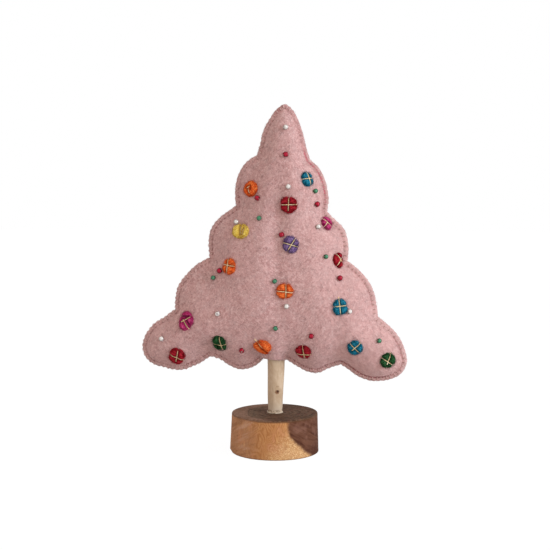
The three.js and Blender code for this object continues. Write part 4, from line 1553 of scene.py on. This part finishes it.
def thread_path(dot, line):
    """The thread over a dot: up out of the felt or the pad, along the crease, and down again."""
    path = []
    for (ax, ay), (bx, by) in zip(line, line[1:]):
        steps = max(3, int(math.hypot(bx - ax, by - ay) / (0.45 * MM)))
        for step in range(steps + (line[-1] == (bx, by))):
            share = step / steps
            path.append((ax + (bx - ax) * share, ay + (by - ay) * share))
    heights = []
    for a, b in path:
        away = math.hypot(a, b) / dot.rim(math.atan2(b, a))
        heights.append(dot.top(a, b)[0] if away < 1 else 0.0)
    smooth = np.convolve(np.pad(heights, 3, mode="edge"), np.ones(7) / 7, mode="valid")
    heights = np.maximum(smooth, np.array(heights) - 0.15 * MM) + gold_thread_lift
    from_start = np.arange(len(path))
    heights = heights - gold_thread_dive * bell(np.minimum(from_start, from_start[::-1]), 0.7)
    return [dot.at(a, b, lift) for (a, b), lift in zip(path, heights)]


def two_ply(path, pitch, reach):
    """Two strands twisted about a path."""
    path = np.array([tuple(point) for point in path])
    run = np.concatenate(([0], np.cumsum(np.linalg.norm(np.diff(path, axis=0), axis=1))))
    fine = np.linspace(0, run[-1], max(8, int(run[-1] / (0.4 * MM))))
    path = np.column_stack([np.interp(fine, run, line) for line in path.T])
    step = unit(np.gradient(path, axis=0))
    lean = unit(np.cross(step, (0.0, 0.0, 1.0) if abs(step[:, 2]).max() < 0.8 else (1.0, 0.0, 0.0)))
    other = np.cross(step, lean)
    turn = 2 * math.pi * fine[:, None] / pitch
    out = reach * (lean * np.cos(turn) + other * np.sin(turn))
    return [path + out, path - out]


for number, name in enumerate(dot_middles):
    dot = Dot(name, number)
    finish_piece(make_dot(dot), dot.colour + "_felt", [name])
    thin = yellow_dot_thinness if dot.colour == "yellow" else 1.0
    strands = []
    for line in dot.lines:
        strands += two_ply(thread_path(dot, line), gold_twist_length, gold_twist_radius * thin)
    radius = gold_strand_radius * thin
    cross = tube_piece("gold_cross_" + name[4:], strands, radius, gold_thread, gold_thread_sides)
    finish_piece(cross)


# Glass beads, each sewn on through its hole

# The way of the thread that holds a bead, in millimetres from its middle: along the hole, aside, and out
# of the felt. Where the hole is open to the front, the thread fills it and comes back down over the bead.
open_way = (
    (-2.4, 0, 0), (0, 0, 0), (1.95, 0, 0), (2.15, 0.6, 0), (1.5, 1.9, 0), (0, 2.45, 0), (-1.4, 2.5, 0),
    (-2.6, 2.3, 0),
)
open_way_radii = [0.62 * MM] * 3 + [0.16 * MM] * 5
side_way = (
    (0, -2.9, -2.4), (0, -2.3, -0.9), (-1.5, 0, 0), (0, 0, 0), (1.5, 0, 0), (0, 2.3, -0.9), (0, 2.9, -2.4)
)
side_way_radius = 0.15 * MM


def make_bead_pattern():
    """One bead: the wall's section, spun round the hole. Its hole runs along Z."""
    middle = (bead_radius + bead_hole_radius) / 2
    half_wall = (bead_radius - bead_hole_radius) / 2
    bead = add_shape(
        "bead_pattern", bpy.ops.mesh.primitive_circle_add, vertices=14, radius=half_wall,
        location=(middle, 0, 0), rotation=(math.pi / 2, 0, 0),
    )
    with edit_mode(select_all=True):
        bpy.ops.transform.resize(value=(1, 1, bead_half_length / half_wall))
        bpy.ops.mesh.spin(steps=26, angle=2 * math.pi, center=(0, 0, 0), axis=(0, 0, 1))
        bpy.ops.mesh.select_all(action="SELECT")
        bpy.ops.mesh.remove_doubles(threshold=0.002 * MM)
        bpy.ops.mesh.normals_make_consistent(inside=False)
    bpy.ops.object.shade_smooth()
    return bead


def hole_way(name):
    """The way a CAD bead's hole runs: the one way in which its points spread unlike the other two."""
    points = np.unique(points_of(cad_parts[name]).round(6), axis=0)
    centred = points - points.mean(axis=0)
    values, ways = np.linalg.eigh(centred.T @ centred)
    return Vector(ways[:, 0 if values[1] - values[0] > values[2] - values[1] else 2])


def make_bead(name, colour, number):
    """A bead on its seat, and the way and the thickness of the thread that holds it."""
    place, normal, across, up = seat_on(bead_middles[name], 2 * MM)
    middle = place + normal * bead_lift
    hole = hole_way(name)
    if hole.dot(normal) < 0:
        hole = -hole
    turn = Vector((0, 0, 1)).rotation_difference(hole).to_matrix().to_4x4()
    chance = random.Random(100 + number)
    size = Matrix.Diagonal([bead_sizes[colour] * chance.uniform(*bead_unevenness) for _ in range(3)] + [1])
    mesh = bead_pattern.data.copy()
    mesh.transform(Matrix.Translation(middle) @ turn @ size)
    mesh.materials.append(bead_finishes[colour])
    bead = add_object("glass_" + name, mesh)
    aside = hole - normal * hole.dot(normal)
    way, radius = side_way, side_way_radius
    if aside.length < 0.5:
        aside = across * 0.6 + up * 0.8
        way, radius = open_way, open_way_radii
    aside.normalize()
    path = [middle + (hole * along + aside * off + normal * out) * MM for along, off, out in way]
    return bead, path, radius


bead_pattern = make_bead_pattern()
for number, name in enumerate(bead_middles):
    colour = name.split("_")[1]
    bead, path, radius = make_bead(name, colour, number)
    finish_piece(bead, colour + "_bead", [name])
    thread = pale_thread if colour == "white" else pink_thread
    finish_piece(tube_piece("thread_" + name, [path], radius, thread))
bpy.data.objects.remove(bead_pattern)

fibre_material = fibre_finish()
finish_piece(make_fuzz("front_felt_fibres", front_felt, front_faces, 31, fibre_material), "pink_felt")
finish_piece(make_fuzz("back_felt_fibres", back_felt, front_faces[:, ::-1], 32, fibre_material), "pink_felt")


# Wooden base


def choose(piece, kind, wanted):
    """Selects the faces or edges of a piece that are wanted, and nothing else."""
    pick(piece)
    with edit_mode():
        bpy.ops.mesh.select_mode(type=kind)
        bpy.ops.mesh.select_all(action="DESELECT")
    mesh = piece.data
    if kind == "FACE":
        for face in mesh.polygons:
            face.select = bool(wanted(face))
    else:
        for edge in mesh.edges:
            edge.select = bool(wanted([mesh.vertices[i].co.z for i in edge.vertices]))


smooth_below = math.radians(50)


def wear(piece, move, material):
    """Moves the points of a piece of wood, and gives it its material and smooth sides."""
    for vertex in piece.data.vertices:
        move(vertex.co)
    give_material(piece, material)
    pick(piece)
    bpy.ops.object.shade_smooth_by_angle(angle=smooth_below)
    return piece


def weather(point):
    """Moves a point of the base: faint rings on top, an uneven side, and a flare at the left."""
    out = math.hypot(point.x, point.y)
    if out < stick_foot_radius + 0.5 * MM or point.z < 1.0 * MM:
        return
    turn = math.atan2(point.y, point.x)

    def roughness(wide, tall):
        return noise_at(point.x / wide, point.y / wide, point.z / tall)

    if point.z > base_height - 0.2 * MM and out < base_top_radius - base_edge_round:
        point.z += 0.09 * MM * noise_at(out / (1.3 * MM), turn * 0.8, 2.0) - 0.06 * MM
        point.z += 0.07 * MM * noise_at(point.x / (6 * MM), point.y / (6 * MM), 7.0)
    else:
        worn = 0.22 * MM * roughness(14 * MM, 60 * MM) + 0.09 * MM * roughness(2.4 * MM, 14 * MM)
        shrink = 1 + (worn - 0.12 * MM) / out
        point.x *= shrink
        point.y *= shrink
    # the trunk flares a little at the left, towards its foot
    if point.x < 0 and out > base_top_radius - 3 * MM:
        flare = 0.45 * MM + 1.1 * MM * (1 - point.z / base_height)
        point.x *= 1 + flare / base_top_radius


def make_base():
    """A short round of trunk: turned, its edge worn round, with a socket and faint relief on top."""
    base = add_shape(
        "wood_base", bpy.ops.mesh.primitive_cylinder_add, vertices=144, radius=base_foot_radius,
        depth=base_height, location=(0, 0, base_height / 2),
    )
    near = 0.1 * MM
    top_level = base_height - near
    choose(base, "FACE", lambda face: face.normal.z > 0.9)
    taper = base_top_radius / base_foot_radius
    with edit_mode():
        bpy.ops.transform.resize(value=(taper, taper, 1))
    choose(base, "EDGE", lambda heights: min(heights) > top_level)
    with edit_mode():
        bpy.ops.mesh.bevel(offset=base_edge_round, segments=4, profile=0.6)
    choose(base, "EDGE", lambda heights: max(heights) < near)
    with edit_mode():
        bpy.ops.mesh.bevel(offset=base_foot_round, segments=2)
    # level cuts round the side
    side_foot = 0.8 * MM
    cut_count = 22
    for cut in range(1, cut_count):
        height = side_foot + (base_height - base_edge_round - side_foot) * cut / cut_count
        with edit_mode(select_all=True):
            bpy.ops.mesh.bisect(plane_co=(0, 0, height), plane_no=(0, 0, 1))
    # rings of the top, in to the socket, and the socket
    choose(base, "FACE", lambda face: len(face.vertices) > 4 and face.center.z > top_level)
    ring_count = 26
    ring_width = (base_top_radius - base_edge_round - stick_foot_radius) / ring_count
    with edit_mode():
        for _ in range(ring_count):
            bpy.ops.mesh.inset(thickness=ring_width)
        bpy.ops.mesh.extrude_region_move(TRANSFORM_OT_translate={"value": (0, 0, -socket_depth)})
    return wear(base, weather, base_finish())


finish_piece(make_base(), "base_wood", ["base_block"])


# Stick, with its knot and its scar

stick_ring_count = 92
stick_side_count = 40
stick_end_share = 0.82

# How far the stick leans to the right, and between which heights
stick_leans = (
    (0.22 * MM, base_height, base_height + 6 * MM),
    (0.78 * MM, base_height + 8 * MM, neck_height - 4 * MM),
)


def grow(point):
    """Moves a point of the stick as a twig grows: thicker upwards, not quite straight or round, knotted."""
    turn = math.atan2(point.y, point.x)
    share = min(1.0, max(0.0, (point.z - base_height) / (neck_height - base_height)))
    thicker = (stick_neck_radius - stick_foot_radius) * share
    thicker -= 0.6 * MM * float(smooth_step(point.z, neck_height + 1 * MM, neck_height + 9 * MM))
    free = 1.0 if base_height + 1 * MM < point.z < neck_height + 6 * MM else 0.35
    ridge = 0.1 * MM * noise_round(turn, 1.6, point.z / (26 * MM))
    ridge += 0.04 * MM * noise_round(turn, 5, point.z / (9 * MM))
    for spot, width, depth in ((knot_place, 2.2 * MM, 0.5 * MM), (mark_place, 1.6 * MM, 0.2 * MM)):
        gap = (point - Vector(spot)).length
        ridge += depth * (bell(gap, 1.5 * width) - 1.5 * bell(gap, 0.6 * width))
    reach = 1 + (thicker + (ridge - 0.3 * MM) * free) / stick_foot_radius
    point.x *= reach
    point.y *= reach
    # it leans a little to the right
    for most, start, end in stick_leans:
        point.x += most * float(smooth_step(point.z, start, end))


def make_stick():
    """A peeled twig, drawn up ring by ring, with a round upper end."""
    stick = add_shape(
        "twig_stick", bpy.ops.mesh.primitive_circle_add, vertices=stick_side_count, radius=stick_foot_radius,
        location=(0, 0, stick_foot_height), fill_type="NGON",
    )
    step = (stick_top_height - stick_foot_height - stick_end_round) / stick_ring_count
    with edit_mode(select_all=True):
        for rise in [step] * stick_ring_count + [stick_end_round]:
            bpy.ops.mesh.extrude_region_move(TRANSFORM_OT_translate={"value": (0, 0, rise)})
        bpy.ops.transform.resize(value=(stick_end_share, stick_end_share, 1))
        bpy.ops.mesh.select_all(action="SELECT")
        bpy.ops.mesh.normals_make_consistent(inside=False)
    return wear(stick, grow, stick_finish())


finish_piece(make_stick(), "stick_wood", ["trunk_stick"])


def make_glue():
    """A thin uneven ring of dried glue round the stick's foot."""
    core = stick_foot_radius - 0.1 * MM
    glue = add_shape(
        "glue_bead", bpy.ops.mesh.primitive_torus_add, major_segments=72, minor_segments=12,
        major_radius=core, minor_radius=glue_radius, location=(0, 0, base_height),
    )
    for vertex in glue.data.vertices:
        point = vertex.co
        turn = math.atan2(point.y, point.x)
        out = math.hypot(point.x, point.y)
        swell = 0.92 + 0.6 * noise_round(turn, 3, 1.0) + 0.3 * noise_round(turn, 9, 4.0)
        point.z = base_height + (point.z - base_height) * swell * glue_height_share
        reach = core + (out - core) * swell
        point.x *= reach / out
        point.y *= reach / out
    give_material(glue, glue_finish())
    bpy.ops.object.shade_smooth()
    return glue


finish_piece(make_glue(), "dried_glue", ["glue_ring"])


# Floor, background and light

# The lights: place, size across, power and colour
lights = {
    "window_light": ((1.6, -0.75, 0.76), 0.9, 24.6, (0.88, 1.0, 1.135)),
    "fill_light": ((-0.4, -1.5, 0.06), 1.0, 3.3, (0.98, 0.99, 1.0)),
}
room_colour = (1.0, 0.936, 0.908, 1)
room_strength = 0.73
floor_size = 8
floor_colour = (0.6, 0.6, 0.6, 1)
floor_glow = 1.07
floor_glow_share = 0.9


def white_ray_share(nodes, links):
    """1 for rays that show the background itself: straight from the camera, or by gloss or glass."""
    rays = nodes.new("ShaderNodeLightPath").outputs
    share = rays["Is Camera Ray"]
    for kind in ("Is Glossy Ray", "Is Transmission Ray"):
        either = nodes.new("ShaderNodeMath")
        either.operation = "MAXIMUM"
        links.new(share, either.inputs[0])
        links.new(rays[kind], either.inputs[1])
        share = either.outputs[0]
    return share


def blend_surfaces(nodes, links, share, first, second, end):
    """Sends a blend of two shaders to a node tree's end."""
    blend = nodes.new("ShaderNodeMixShader")
    for socket, source in zip(blend.inputs, (share, first.outputs[0], second.outputs[0])):
        links.new(source, socket)
    links.new(blend.outputs[0], nodes[end].inputs["Surface"])


def make_floor():
    floor = add_shape("floor", bpy.ops.mesh.primitive_plane_add, size=floor_size, location=(0, 0, 0))
    material = bpy.data.materials.new("white floor")
    material.use_nodes = True
    nodes, links = material.node_tree.nodes, material.node_tree.links
    matt = nodes["Principled BSDF"]
    matt.inputs["Base Color"].default_value = floor_colour
    matt.inputs["Roughness"].default_value = 0.9
    glow = nodes.new("ShaderNodeEmission")
    glow.inputs["Strength"].default_value = floor_glow
    share = nodes.new("ShaderNodeMath")
    share.operation = "MULTIPLY"
    share.inputs[1].default_value = floor_glow_share
    links.new(white_ray_share(nodes, links), share.inputs[0])
    blend_surfaces(nodes, links, share.outputs[0], matt, glow, "Material Output")
    floor.data.materials.append(material)


def light_the_room():
    world = bpy.data.worlds.new("room")
    bpy.context.scene.world = world
    world.use_nodes = True
    nodes, links = world.node_tree.nodes, world.node_tree.links
    room = nodes["Background"]
    room.inputs["Color"].default_value = room_colour
    room.inputs["Strength"].default_value = room_strength
    shown = nodes.new("ShaderNodeBackground")
    shown.inputs["Color"].default_value = (1, 1, 1, 1)
    shown.inputs["Strength"].default_value = 1.0
    blend_surfaces(nodes, links, white_ray_share(nodes, links), room, shown, "World Output")
    for name, (place, size, power, colour) in lights.items():
        lamp = bpy.data.lights.new(name, "AREA")
        lamp.shape = "DISK"
        lamp.size = size
        lamp.energy = power
        lamp.color = colour
        turn_to(add_object(name, lamp), place, light_aim)


def place_camera():
    lens = bpy.data.cameras.new("camera")
    lens.lens = camera_lens
    lens.sensor_width = 36
    lens.clip_start = 0.01
    camera = add_object("camera", lens)
    across, forward = camera_distance * math.sin(camera_turn), -camera_distance * math.cos(camera_turn)
    turn_to(camera, (across, forward, camera_height), camera_aim)
    bpy.context.scene.camera = camera


place_camera()
make_floor()
light_the_room()
bpy.context.scene.view_settings.view_transform = "Standard"
